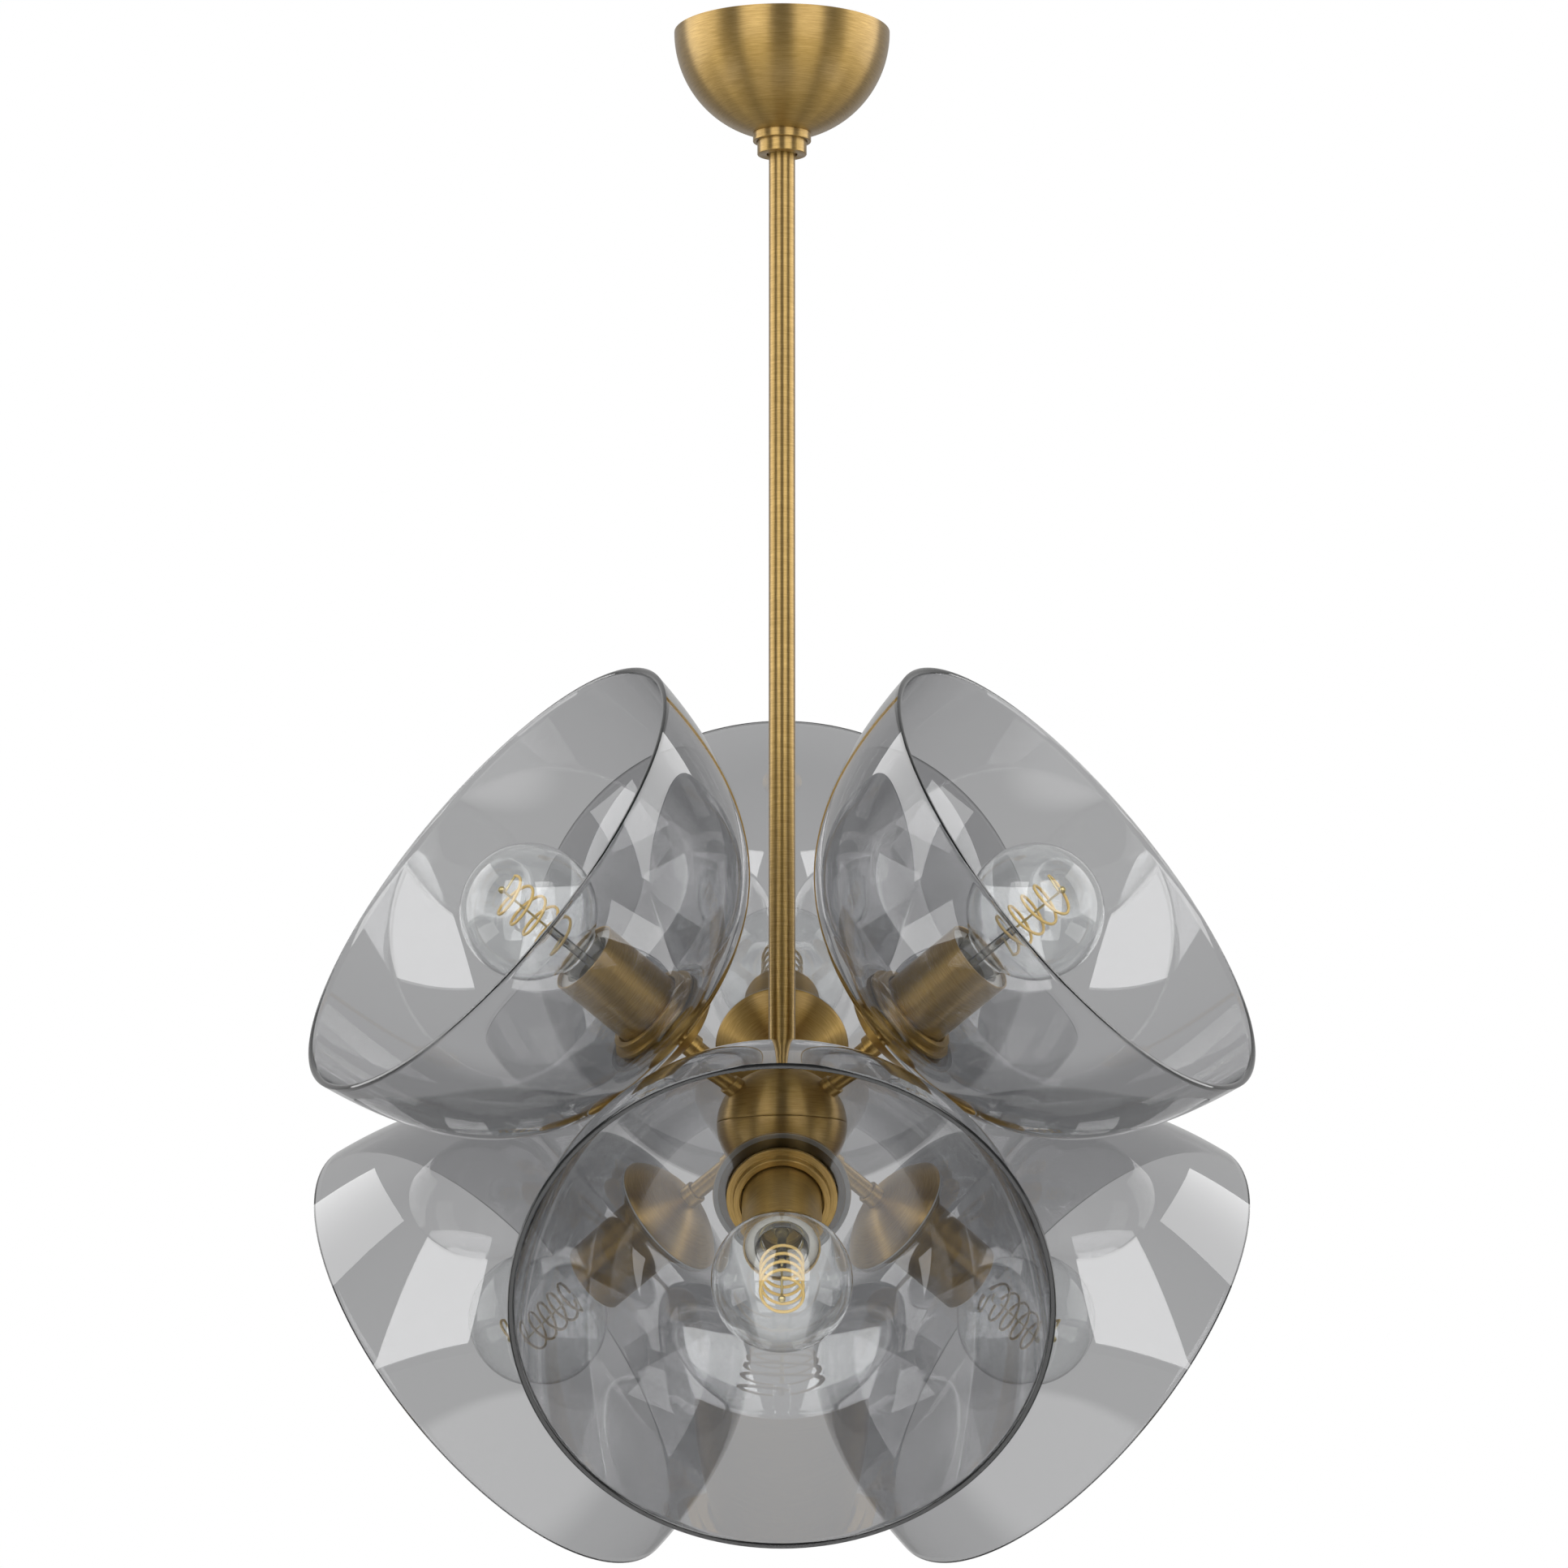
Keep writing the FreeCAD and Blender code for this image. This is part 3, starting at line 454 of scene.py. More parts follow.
def join(name, objects):
    """One object from several, under the given name."""
    bpy.ops.object.select_all(action="DESELECT")
    for made in objects:
        made.select_set(True)
    bpy.context.view_layer.objects.active = objects[0]
    if len(objects) > 1:
        bpy.ops.object.join()
    joined = bpy.context.view_layer.objects.active
    joined.name = name
    return joined


# ---------------------------------------------------------------- placing
def lights(sizes):
    """(number, placing matrix) of each light. Local +Z runs out along its arm from the hub's centre."""
    hub = Matrix.Translation((0, 0, sizes.hub_height))
    placings = []
    for first, rise in ((UPPER_AZIMUTH, sizes.upper_elevation), (LOWER_AZIMUTH, -sizes.lower_elevation)):
        tilt = Matrix.Rotation(math.pi / 2 - rise, 4, "Y")
        for azimuth in range(first, first + 360, 360 // ARMS_IN_A_SET):
            placings.append(hub @ Matrix.Rotation(math.radians(azimuth), 4, "Z") @ tilt)
    return list(enumerate(placings, start=1))


def superellipse(sizes, inset, first_radius, last_place, steps):
    """The bowl's wall: r = A sin(t)^(2/n), z = C - B cos(t)^(2/n), from a radius out to a place."""
    power = 2.0 / sizes.shade_power
    depth = sizes.shade_depth - sizes.shade_crown
    across = ((sizes.shade_semi_depth - depth) / sizes.shade_semi_depth) ** sizes.shade_power
    half_width = sizes.shade_radius / (1 - across) ** (1 / sizes.shade_power)
    inside = (sizes.glass_bearing / half_width) ** sizes.shade_power
    rise = sizes.shade_semi_depth * (1 - (1 - inside) ** (1 / sizes.shade_power))
    centre = sizes.glass_back - rise + sizes.glass_seat_gap + sizes.shade_semi_depth
    a, b = half_width - inset, sizes.shade_semi_depth - inset
    first = math.asin((first_radius / a) ** (1 / power))
    last = math.acos(((centre - last_place) / b) ** (1 / power))
    t = np.linspace(first, last, steps)
    return np.stack([a * np.sin(t) ** power, centre - b * np.cos(t) ** power], 1)


def lock_ring_back(sizes):
    """The place of the lock ring's back, just clear of the glass at the flange's edge."""
    inner = superellipse(sizes, sizes.glass_wall, sizes.ring_flange_radius,
                         sizes.glass_back + sizes.shade_depth - sizes.shade_crown, 2)
    return inner[0, 1] + sizes.ring_gap


# ---------------------------------------------------------------- materials
def add(tree, kind, settings=None, **inputs):
    """Adds a node; each keyword sets or links the input of that name, with spaces as underscores.

    A keyword such as _0 stands for the input in that place."""
    node = tree.nodes.new(kind)
    for key, value in (settings or {}).items():
        setattr(node, key, value)
    for key, value in inputs.items():
        socket = node.inputs[int(key[1:])] if key[0] == "_" else node.inputs[key.replace("_", " ")]
        if isinstance(value, bpy.types.NodeSocket):
            tree.links.new(value, socket)
        else:
            socket.default_value = value
    return node


def new_material(name):
    """An empty material and its node tree."""
    material = bpy.data.materials.new(name)
    material.use_nodes = True
    material.node_tree.nodes.clear()
    return material, material.node_tree


def opaque(rgb):
    """The colour with an alpha of 1."""
    return (*rgb, 1.0)


def antique_brass(name, finish, from_attribute):
    """Lacquered antique brass, brushed on a lathe: lines round the part's own axis.

    The lines draw each highlight out across them into a soft band, and the lacquer adds a faint gloss.
    Real ones are about 0.1 mm apart. The coarsest here are at 0.5 mm, so that they show."""
    material, tree = new_material(name)
    if from_attribute:
        place = add(tree, "ShaderNodeAttribute", {"attribute_name": PLACE}).outputs["Vector"]
    else:
        place = add(tree, "ShaderNodeTexCoord").outputs["Object"]
    parts = add(tree, "ShaderNodeSeparateXYZ", Vector=place).outputs
    flat = add(tree, "ShaderNodeCombineXYZ", X=parts["X"], Y=parts["Y"]).outputs["Vector"]
    radius = add(tree, "ShaderNodeVectorMath", {"operation": "LENGTH"}, _0=flat).outputs["Value"]
    run = add(tree, "ShaderNodeMath", {"operation": "ADD"}, _0=radius, _1=parts["Z"]).outputs["Value"]
    stretched = add(tree, "ShaderNodeMath", {"operation": "MULTIPLY"}, _0=run,
                    _1=finish.brush_length / finish.brush_spacing).outputs["Value"]
    brushed = add(tree, "ShaderNodeCombineXYZ", X=parts["X"], Y=parts["Y"], Z=stretched).outputs["Vector"]
    lines = add(tree, "ShaderNodeTexNoise", Vector=brushed, Scale=1 / finish.brush_length, Detail=LINE_DETAIL,
                Roughness=LINE_FINENESS).outputs["Fac"]
    patches = add(tree, "ShaderNodeTexNoise", Vector=place, Scale=1 / finish.patch_size,
                  Detail=PATCH_DETAIL).outputs["Fac"]
    contrast = smooth_step(tree, lines, *LINE_CONTRAST)
    mixed = add(tree, "ShaderNodeMix", {"data_type": "RGBA"}, _0=contrast, _6=opaque(finish.brass_dark),
                _7=opaque(finish.brass)).outputs[2]
    rough = mixed_value(tree, patches, finish.brass_smoothest, finish.brass_roughest)
    relief = add(tree, "ShaderNodeBump", Strength=finish.brush_strength, Distance=finish.brush_relief,
                 Height=lines).outputs["Normal"]
    surface = add(tree, "ShaderNodeBsdfPrincipled", Base_Color=mixed, Metallic=1.0, Roughness=rough,
                  Normal=relief, Coat_Weight=finish.brass_lacquer, Coat_Roughness=finish.lacquer_roughness)
    if from_attribute:
        way = add(tree, "ShaderNodeAttribute", {"attribute_name": WAY}).outputs["Vector"]
        to_world = {"vector_type": "VECTOR", "convert_from": "OBJECT", "convert_to": "WORLD"}
        turned_way = add(tree, "ShaderNodeVectorTransform", to_world, Vector=way).outputs["Vector"]
        tree.links.new(turned_way, surface.inputs["Tangent"])
        surface.inputs["Anisotropic"].default_value = finish.brass_streak
        surface.inputs["Anisotropic Rotation"].default_value = QUARTER_TURN
    add(tree, "ShaderNodeOutputMaterial", Surface=surface.outputs["BSDF"])
    return material


def smoke_glass(name, finish):
    """Mouth-blown soda-lime glass, tinted smoke grey in the body, with a thin film of metal oxide.

    The tint darkens where walls overlap or stand edge-on, and the film gives a crisp, pale gloss."""
    material, tree = new_material(name)
    surface = add(tree, "ShaderNodeBsdfPrincipled", Base_Color=WHITE, Roughness=0.0,
                  IOR=finish.glass_ior, Transmission_Weight=1.0, Coat_Weight=finish.lustre,
                  Coat_Roughness=0.0, Coat_IOR=finish.glass_ior)
    body = add(tree, "ShaderNodeVolumeAbsorption", Color=opaque(finish.smoke), Density=finish.smoke_density)
    add(tree, "ShaderNodeOutputMaterial", Surface=surface.outputs["BSDF"], Volume=body.outputs["Volume"])
    return material


def bulb_glass(name, finish):
    """Clear machine-blown bulb glass, which shows only by its small lights and its dark outline."""
    material, tree = new_material(name)
    surface = add(tree, "ShaderNodeBsdfPrincipled", Base_Color=opaque(finish.clear), Roughness=0.0,
                  IOR=finish.glass_ior, Transmission_Weight=1.0)
    add(tree, "ShaderNodeOutputMaterial", Surface=surface.outputs["BSDF"])
    return material


def plain(name, rgb, roughness, metallic=0.0):
    """A plain surface whose gloss varies a little in patches of about 10 mm, as on a handled piece."""
    material, tree = new_material(name)
    place = add(tree, "ShaderNodeTexCoord").outputs["Object"]
    patches = add(tree, "ShaderNodeTexNoise", Vector=place, Scale=1 / PLAIN_PATCH,
                  Detail=PATCH_DETAIL).outputs["Fac"]
    rough = mixed_value(tree, patches, roughness - PLAIN_SPREAD, roughness + PLAIN_SPREAD)
    surface = add(tree, "ShaderNodeBsdfPrincipled", Base_Color=opaque(rgb), Metallic=metallic,
                  Roughness=rough)
    add(tree, "ShaderNodeOutputMaterial", Surface=surface.outputs["BSDF"])
    return material


def floor_material(stage):
    """A pale matt floor, evened out for the eye.

    Gloss sees it as a pool of light below the object's front and as the dim room beyond."""
    material, tree = new_material("studio_floor")
    place = add(tree, "ShaderNodeTexCoord").outputs["Object"]
    middle = (0.0, -stage.pool_forward, stage.floor_height)
    away = add(tree, "ShaderNodeVectorMath", {"operation": "DISTANCE"}, _0=place, _1=middle).outputs["Value"]
    beyond = smooth_step(tree, away, stage.pool_inner, stage.pool_outer)
    shown = mixed_value(tree, beyond, stage.pool_light, stage.pool_dark)
    pool = add(tree, "ShaderNodeEmission", Strength=shown)
    matt = add(tree, "ShaderNodeBsdfPrincipled", Base_Color=opaque(stage.floor_colour),
               Roughness=stage.floor_roughness)
    pale = add(tree, "ShaderNodeEmission", Strength=stage.floor_shown)
    path = add(tree, "ShaderNodeLightPath").outputs
    part = mixed_value(tree, path["Is Camera Ray"], 0.0, stage.floor_evened)
    evened = add(tree, "ShaderNodeMixShader", _0=part, _1=matt.outputs["BSDF"], _2=pale.outputs["Emission"])
    either = add(tree, "ShaderNodeMixShader", _0=path["Is Glossy Ray"], _1=evened.outputs["Shader"],
                 _2=pool.outputs["Emission"])
    add(tree, "ShaderNodeOutputMaterial", Surface=either.outputs["Shader"])
    return material


def material_named(name, make, *settings):
    """The material of that name, made the first time it is asked for."""
    return bpy.data.materials.get(name) or make(name, *settings)


def brass():
    """The turned parts' brass."""
    return material_named("antique_brass_brushed", antique_brass, bpy.context.scene.pendant_finish, True)


def dress(piece, material, body, slot, *nodes):
    """Gives a piece its material and its CAD body, and hides the CAD nodes that it stands for. The slot is
    not used.
    """
    piece.data.materials.clear()
    piece.data.materials.append(material)
    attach(piece, body)
    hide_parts(*nodes)


# ---------------------------------------------------------------- operators
class PENDANT_OT_canopy(bpy.types.Operator):
    """Builds the canopy and the ring under it"""
    bl_idname = "pendant.canopy"
    bl_label = "Canopy"

    def execute(self, context):
        sizes, around = context.scene.pendant_sizes, context.scene.pendant_stage.around
        outer, inner = sizes.canopy_radius, sizes.canopy_radius - sizes.canopy_wall
        seat = math.sqrt(outer ** 2 - sizes.canopy_ring_radius ** 2)
        outside = arc(outer, 0.0, 0.0, -math.acos(sizes.canopy_ring_radius / outer), ARC_STEPS)
        inside = arc(inner, 0.0, -math.acos(sizes.canopy_hole / inner), 0.0, ARC_STEPS)
        hole = [(sizes.canopy_hole, -seat)]
        bowl = turned("canopy_bowl", np.concatenate([outside, hole, inside]), Matrix(), around)
        dress(bowl, brass(), "canopy_cover", "antique_brass", "canopy")
        low = -seat - sizes.canopy_ring_height
        ring = turned("canopy_lock_ring", rounded([
            (sizes.canopy_hole, low), (sizes.canopy_ring_radius, low), (sizes.canopy_ring_radius, -seat),
            (sizes.canopy_hole, -seat)], sizes.edge_round), Matrix(), around)
        dress(ring, brass(), "canopy_cover", "antique_brass", "canopy_ring")
        return {"FINISHED"}


class PENDANT_OT_swivel(bpy.types.Operator):
    """Builds the swivel's housing round the rod's ball"""
    bl_idname = "pendant.swivel"
    bl_label = "Swivel"

    def execute(self, context):
        sizes, around = context.scene.pendant_sizes, context.scene.pendant_stage.around
        seat = math.sqrt(sizes.canopy_radius ** 2 - sizes.canopy_ring_radius ** 2)
        low = -seat - sizes.canopy_ring_height - sizes.housing_exposed
        high = -seat + sizes.housing_hidden
        pivot = pivot_height()
        socket_low = -math.acos(sizes.housing_mouth / sizes.ball_socket)
        socket = arc(sizes.ball_socket, pivot, 0.0, socket_low, SOCKET_STEPS)
        outside = rounded([(sizes.housing_mouth, low), (sizes.housing_radius, low),
                           (sizes.housing_radius, high), (sizes.housing_bore, high)], sizes.edge_round)
        outline = np.concatenate([outside, [(sizes.housing_bore, pivot)], socket])
        housing = turned("swivel_collar", outline, Matrix(), around)
        dress(housing, brass(), "ceiling_mount", "antique_brass", "swivel_housing")
        return {"FINISHED"}


def pivot_height():
    """The height of the swivel's centre, from the part's own joint."""
    return next(joint["pos_m"][2] for joint in frame["joints"] if joint["name"] == "swivel_lean_x")


class PENDANT_OT_rod_and_hub(bpy.types.Operator):
    """Builds the rod and the two halves of the ball hub"""
    bl_idname = "pendant.rod_and_hub"
    bl_label = "Rod and Hub"

    def execute(self, context):
        sizes, around = context.scene.pendant_sizes, context.scene.pendant_stage.around
        foot = sizes.hub_height + sizes.hub_radius - sizes.rod_engagement
        corners = [(sizes.rod_bore, foot), (sizes.rod_radius, foot),
                   (sizes.rod_radius, sizes.rod_top), (sizes.rod_bore, sizes.rod_top)]
        rod = turned("rod_tube", rounded(corners, sizes.edge_round / 2), Matrix(), AROUND_HOLDER)
        dress(rod, brass(), "pendant", "antique_brass", "rod")
        hub = Matrix.Translation((0, 0, sizes.hub_height))
        for name, side, node, hole in (("hub_upper_half", 1, "hub_upper", sizes.rod_radius),
                                       ("hub_lower_half", -1, "hub_lower", 0.0)):
            half = turned(name, half_ball(sizes, hole) * [1, side], hub, around)
            dress(half, brass(), "pendant", "antique_brass", node)
        return {"FINISHED"}


def half_ball(sizes, hole):
    """The upper half of the hub's shell, from its seam up to a hole round the axis or to the axis itself.

    Its two walls are arcs about the hub's centre."""
    outer, inner, lip = sizes.hub_radius, sizes.hub_radius - sizes.hub_wall, sizes.hub_seam / 2
    ease = sizes.edge_round / 2
    outside = arc(outer, 0.0, math.asin((lip + ease) / outer), math.acos(hole / outer), ARC_STEPS)
    inside = arc(inner, 0.0, math.acos(hole / inner), math.asin(lip / inner), INNER_ARC_STEPS)
    outline = np.concatenate([outside, inside, [(outer * math.cos(lip / outer) - ease, lip)]])
    outline[outline[:, 0] < SAME_PLACE, 0] = 0.0
    return outline


class PENDANT_OT_arms(bpy.types.Operator):
    """Builds the arms and their collars"""
    bl_idname = "pendant.arms"
    bl_label = "Arms"

    def execute(self, context):
        sizes = context.scene.pendant_sizes
        flat = math.sqrt(sizes.hub_radius ** 2 - sizes.collar_radius ** 2)
        tubes, rings = [], []
        corners = [(sizes.arm_bore, sizes.arm_start), (sizes.arm_radius, sizes.arm_start),
                   (sizes.arm_radius, sizes.arm_end), (sizes.arm_bore, sizes.arm_end)]
        arm = rounded(corners, sizes.edge_round / 2)
        for _, placing in lights(sizes):
            tubes.append(turned("arm", arm, placing, AROUND_ARM))
            for low, high in ((flat, flat + sizes.collar_height),
                              (sizes.holder_neck - sizes.outer_collar_height, sizes.holder_neck)):
                corners = [(sizes.arm_radius, low), (sizes.collar_radius, low),
                           (sizes.collar_radius, high), (sizes.arm_radius, high)]
                rings.append(turned("collar", rounded(corners, sizes.edge_round), placing, AROUND_ARM))
        dress(join("arm_tubes", tubes), brass(), "pendant", "antique_brass", "arms")
        dress(join("arm_collar_rings", rings), brass(), "pendant", "antique_brass", "arm_collars")
        return {"FINISHED"}


class PENDANT_OT_holders(bpy.types.Operator):
    """Builds each light's shade holder, lock ring and lamp cup"""
    bl_idname = "pendant.holders"
    bl_label = "Holders"

    def execute(self, context):
        sizes = context.scene.pendant_sizes
        neck, rim = sizes.holder_neck, sizes.holder_neck + sizes.holder_depth
        wall, flange = sizes.holder_wall, sizes.holder_flange
        back = lock_ring_back(sizes)
        outside = arc_through(
            (sizes.collar_radius, neck), (sizes.holder_rim, rim - wall), sizes.holder_bulge, CONE_STEPS)
        inside = arc_through(
            (sizes.collar_radius, neck + wall), (sizes.holder_rim - flange + wall, rim - wall),
            sizes.holder_bulge, CONE_STEPS)
        lip = rounded([(sizes.holder_rim, rim - wall / 2), (sizes.holder_rim, rim),
                       (sizes.holder_rim - flange, rim), (sizes.holder_rim - flange, rim - wall)],
                      sizes.edge_round)
        # The lip starts on the wall, so the first half of its first eased corner is left out.
        holder = np.concatenate([[(sizes.arm_radius, neck)], outside, lip[EASE_STEPS // 2 + 1:], inside[::-1],
                                 [(sizes.arm_radius, neck + wall)]])
        ring = rounded([
            (sizes.ring_bore, back), (sizes.ring_flange_radius, back),
            (sizes.ring_flange_radius, back + sizes.ring_flange),
            (sizes.ring_step_radius, back + sizes.ring_flange),
            (sizes.ring_step_radius, back + sizes.ring_flange + sizes.ring_step),
            (sizes.ring_mouth, back + sizes.ring_flange + sizes.ring_step),
            (sizes.ring_mouth, back + sizes.ring_thread), (sizes.ring_bore, back + sizes.ring_thread),
        ], sizes.edge_round)
        cup_back = neck + wall + sizes.cup_boss
        cup_front = cup_back + sizes.cup_length
        cup_inner = sizes.cup_radius - sizes.cup_wall
        cup = rounded([
            (sizes.arm_radius, neck + wall), (sizes.collar_radius, neck + wall),
            (sizes.collar_radius, cup_back), (sizes.cup_radius, cup_back),
            (sizes.cup_radius, cup_front), (cup_inner, cup_front),
            (cup_inner, cup_back + sizes.cup_wall), (sizes.arm_radius, cup_back + sizes.cup_wall),
        ], sizes.edge_round)
        for number, placing in lights(sizes):
            for name, outline, body, node in (("holder_cone", holder, "pendant", "shade_holder"),
                                              ("glass_ring", ring, f"ring_{number}", "lock_ring"),
                                              ("lamp_cup", cup, "pendant", "socket_cup")):
                piece = turned(f"{name}_{number}", outline, placing, AROUND_HOLDER)
                dress(piece, brass(), body, "antique_brass", f"{node}_{number}")
        return {"FINISHED"}


class PENDANT_OT_shades(bpy.types.Operator):
    """Builds the smoke glass bowls"""
    bl_idname = "pendant.shades"
    bl_label = "Shades"

    def execute(self, context):
        sizes, around = context.scene.pendant_sizes, context.scene.pendant_stage.around
        glass = material_named("smoke_glass_blown", smoke_glass, context.scene.pendant_finish)
        rim = sizes.glass_back + sizes.shade_depth - sizes.shade_crown
        outer = superellipse(sizes, 0.0, sizes.glass_hole, rim, BOWL_STEPS)
        inner = superellipse(sizes, sizes.glass_wall, sizes.glass_hole, rim, BOWL_STEPS)
        crown = arc_through(outer[-1], inner[-1], sizes.shade_crown, CROWN_STEPS)[1:-1]
        outline = np.concatenate([outer, crown, inner[::-1]])
        for number, placing in lights(sizes):
            dress(turned(f"glass_bowl_{number}", outline, placing, around), glass, "pendant", "smoke_glass",
                  f"shade_{number}")
        return {"FINISHED"}


class PENDANT_OT_bulbs(bpy.types.Operator):
    """Builds the globe bulbs: glass, threaded base, stem and spiral"""
    bl_idname = "pendant.bulbs"
    bl_label = "Bulbs"

    def execute(self, context):
        sizes, finish = context.scene.pendant_sizes, context.scene.pendant_finish
        clear = material_named("clear_bulb_glass", bulb_glass, finish)
        # Drawn and plated shell: a pale warm metal, with a sharp light on each turn of the thread.
        metal = material_named("bulb_base_nickel", plain, finish.nickel, 0.3, 1.0)
        # Coated carbon strand: an even amber yellow that stands out behind the clear glass.
        amber = material_named("amber_filament", plain, finish.amber, 0.5)
        globe = np.concatenate([bulb_wall(sizes, 0.0), bulb_wall(sizes, sizes.bulb_wall)[::-1]])
        base, stem, bead = base_outline(sizes), stem_outline(sizes), bead_outline(sizes)
        spiral = spiral_path(sizes)
        wire = [(0, sizes.stem_front), (sizes.stem_wire, sizes.stem_front),
                (sizes.stem_wire, sizes.spiral_front), (0, sizes.spiral_front)]
        for number, placing in lights(sizes):
            body, filament = f"bulb_{number}", f"bulb_filament_{number}"
            piece = turned(f"bulb_globe_{number}", globe, placing, AROUND_HOLDER)
            dress(piece, clear, body, "clear_glass", f"bulb_glass_{number}")
            piece = turned(f"bulb_screw_base_{number}", base, placing, AROUND_BASE, closed=False,
                           radius_change=lambda ring, angles: thread_change(sizes, ring, angles))
            dress(piece, metal, body, "lamp_base_metal", f"bulb_base_{number}")
            piece = turned(f"bulb_stem_{number}", stem, placing, AROUND_STEM, closed=False)
            dress(piece, clear, body, "clear_glass", filament)
            pieces = [turned(f"bulb_wire_{number}", wire, placing, AROUND_WIRE, closed=False),
                      turned("bead", bead, placing, AROUND_BEAD, closed=False)]
            for end in (spiral[0], spiral[-1]):
                pieces.append(straight(placing, end * [0, 0, 1], end, sizes.stem_wire))
            dress(join(f"bulb_wires_{number}", pieces), metal, body, "lamp_base_metal", filament)
            piece = tube(f"bulb_spiral_{number}", spiral, sizes.spiral_thickness, placing)
            dress(piece, amber, body, "amber_filament", filament)
        return {"FINISHED"}


def insulator_front(sizes):
    """The place where the base's insulator ends, and its threaded shell and the stem's foot begin."""
    return sizes.base_back + sizes.contact_height + sizes.insulator_height


def base_outline(sizes):
    """The screw base: centre contact, insulator and thin shell, from the axis back to the axis."""
    back, front, insulator = sizes.base_back, sizes.base_front, insulator_front(sizes)
    inner, contact = sizes.base_radius - sizes.base_wall, sizes.contact_radius
    return np.concatenate([
        [(0, back), (contact - sizes.contact_edge, back), (contact, back + sizes.contact_edge),
         (contact, back + sizes.contact_height)],
        np.stack([np.full(ARC_STEPS, sizes.base_radius), np.linspace(insulator, front, ARC_STEPS)], 1),
        [(inner, front), (inner, insulator), (0, insulator)]])


def thread_change(sizes, ring, angles):
    """The screw thread on the shell: -d/2 (1 - cos(2 pi z / pitch - a)), fading out at both ends."""
    on_shell = (np.abs(ring[:, :1] - sizes.base_radius) < SAME_PLACE).astype(float)
    back = insulator_front(sizes)
    place, full = ring[:, 1:] - back, sizes.base_front - back
    fade = np.clip(place / sizes.thread_start, 0, 1) * np.clip((full - place) / sizes.thread_end, 0, 1)
    turned_by = 2 * math.pi * place / sizes.thread_pitch - angles[None, :]
    return -on_shell * fade * sizes.thread_depth / 2 * (1 - np.cos(turned_by))


def stem_outline(sizes):
    """The glass stem: a foot that flares in the base, a straight tube and an eased tip."""
    back, tube_radius = insulator_front(sizes), sizes.stem_radius
    return np.array([
        (0, back), (sizes.stem_foot, back),
        (sizes.stem_foot * sizes.stem_edge, back + sizes.stem_edge_height),
        (sizes.stem_foot * sizes.stem_waist, back + sizes.stem_waist_height),
        (tube_radius, sizes.base_front), (tube_radius, sizes.stem_front - sizes.stem_tip_height),
        (tube_radius * sizes.stem_tip, sizes.stem_front), (0, sizes.stem_front)])


def bead_outline(sizes):
    """The round bead on the end of the stem's wire."""
    middle = sizes.spiral_front + sizes.button
    outline = arc(sizes.button, middle, -math.pi / 2, math.pi / 2, BEAD_STEPS)
    outline[[0, -1], 0] = 0.0
    return outline


def spiral_path(sizes):
    """The filament's centre line: (R cos 2 pi t, R sin 2 pi t, z), with z even over the turns t."""
    turns = np.linspace(0, sizes.spiral_turns, int(SPIRAL_STEPS_PER_TURN * sizes.spiral_turns))
    way = 2 * math.pi * turns
    rise = (sizes.spiral_front - sizes.spiral_back) * turns / sizes.spiral_turns
    return np.stack([
        sizes.spiral_radius * np.cos(way), sizes.spiral_radius * np.sin(way), sizes.spiral_back + rise], 1)


def straight(placing, start, end, radius):
    """A straight wire between two local points."""
    along = Vector(end) - Vector(start)
    local = Matrix.Translation(start) @ along.to_track_quat("Z", "Y").to_matrix().to_4x4()
    outline = [(0, 0), (radius, 0), (radius, along.length), (0, along.length)]
    return turned("wire", outline, placing @ local, AROUND_LEAD, closed=False)


def bulb_wall(sizes, inset):
    """One surface of the bulb's glass, from the tip on the axis to its foot in the base.

    The globe is a circle and the neck a parabola that leaves it along its own slope."""
    radius, neck = sizes.bulb_radius - inset, sizes.bulb_neck - inset
    foot = sizes.base_radius - sizes.base_wall - sizes.bulb_base_gap - inset
    last = math.pi - math.asin((sizes.bulb_shoulder - inset) / radius)
    globe = arc(radius, sizes.bulb_centre, math.pi / 2, math.pi / 2 - last, GLOBE_STEPS)
    globe[0, 0] = 0.0
    slope = np.array([math.cos(last), -math.sin(last)])
    control = globe[-1] + slope * (globe[-1, 0] - neck) / -slope[0]
    waist = np.array([neck, sizes.bulb_neck_front])
    bend = np.array([neck, max(control[1], waist[1])])
    s = np.linspace(0, 1, NECK_STEPS)[1:, None]
    eased = (1 - s) ** 2 * globe[-1] + 2 * s * (1 - s) * bend + s ** 2 * waist
    end = [(foot, sizes.base_front), (foot, sizes.base_front - sizes.glass_in_base)]
    return np.concatenate([globe, eased, end])


class PENDANT_OT_fittings(bpy.types.Operator):
    """Gives the CAD nodes that stay in view their materials"""
    bl_idname = "pendant.fittings"
    bl_label = "Fittings"

    def execute(self, context):
        finish = context.scene.pendant_finish
        made = {
            # Pressed steel with bright zinc: a cool grey, half-glossy metal.
            "zinc_plated_steel": plain("zinc_plated_steel", finish.steel, 0.35, 1.0),
            # The turned pieces inside, brushed like the outer ones.
            "turned_brass": antique_brass("turned_brass_plain", finish, False),
            # Moulded natural nylon: a warm white with a waxy gloss.
            "nylon": plain("natural_nylon", finish.nylon, 0.45),
            # Drawn vinyl sleeve: near black with a soft light along it.
            "wire_insulation": plain("wire_insulation", finish.insulation, 0.5),
            # Moulded silicone: a dull pale grey.
            "silicone": plain("silicone_rubber", finish.silicone, 0.6),
            # Pressed ceramic under glaze: a warm white with small sharp lights.
            "glazed_ceramic": plain("glazed_ceramic", finish.ceramic, 0.2),
        }
        for row in frame["record"]["subparts"]:
            node = frame["nodes"][row["node"]]
            if row["material_slot"] in made:
                node.data.materials.clear()
                node.data.materials.append(made[row["material_slot"]])
        return {"FINISHED"}


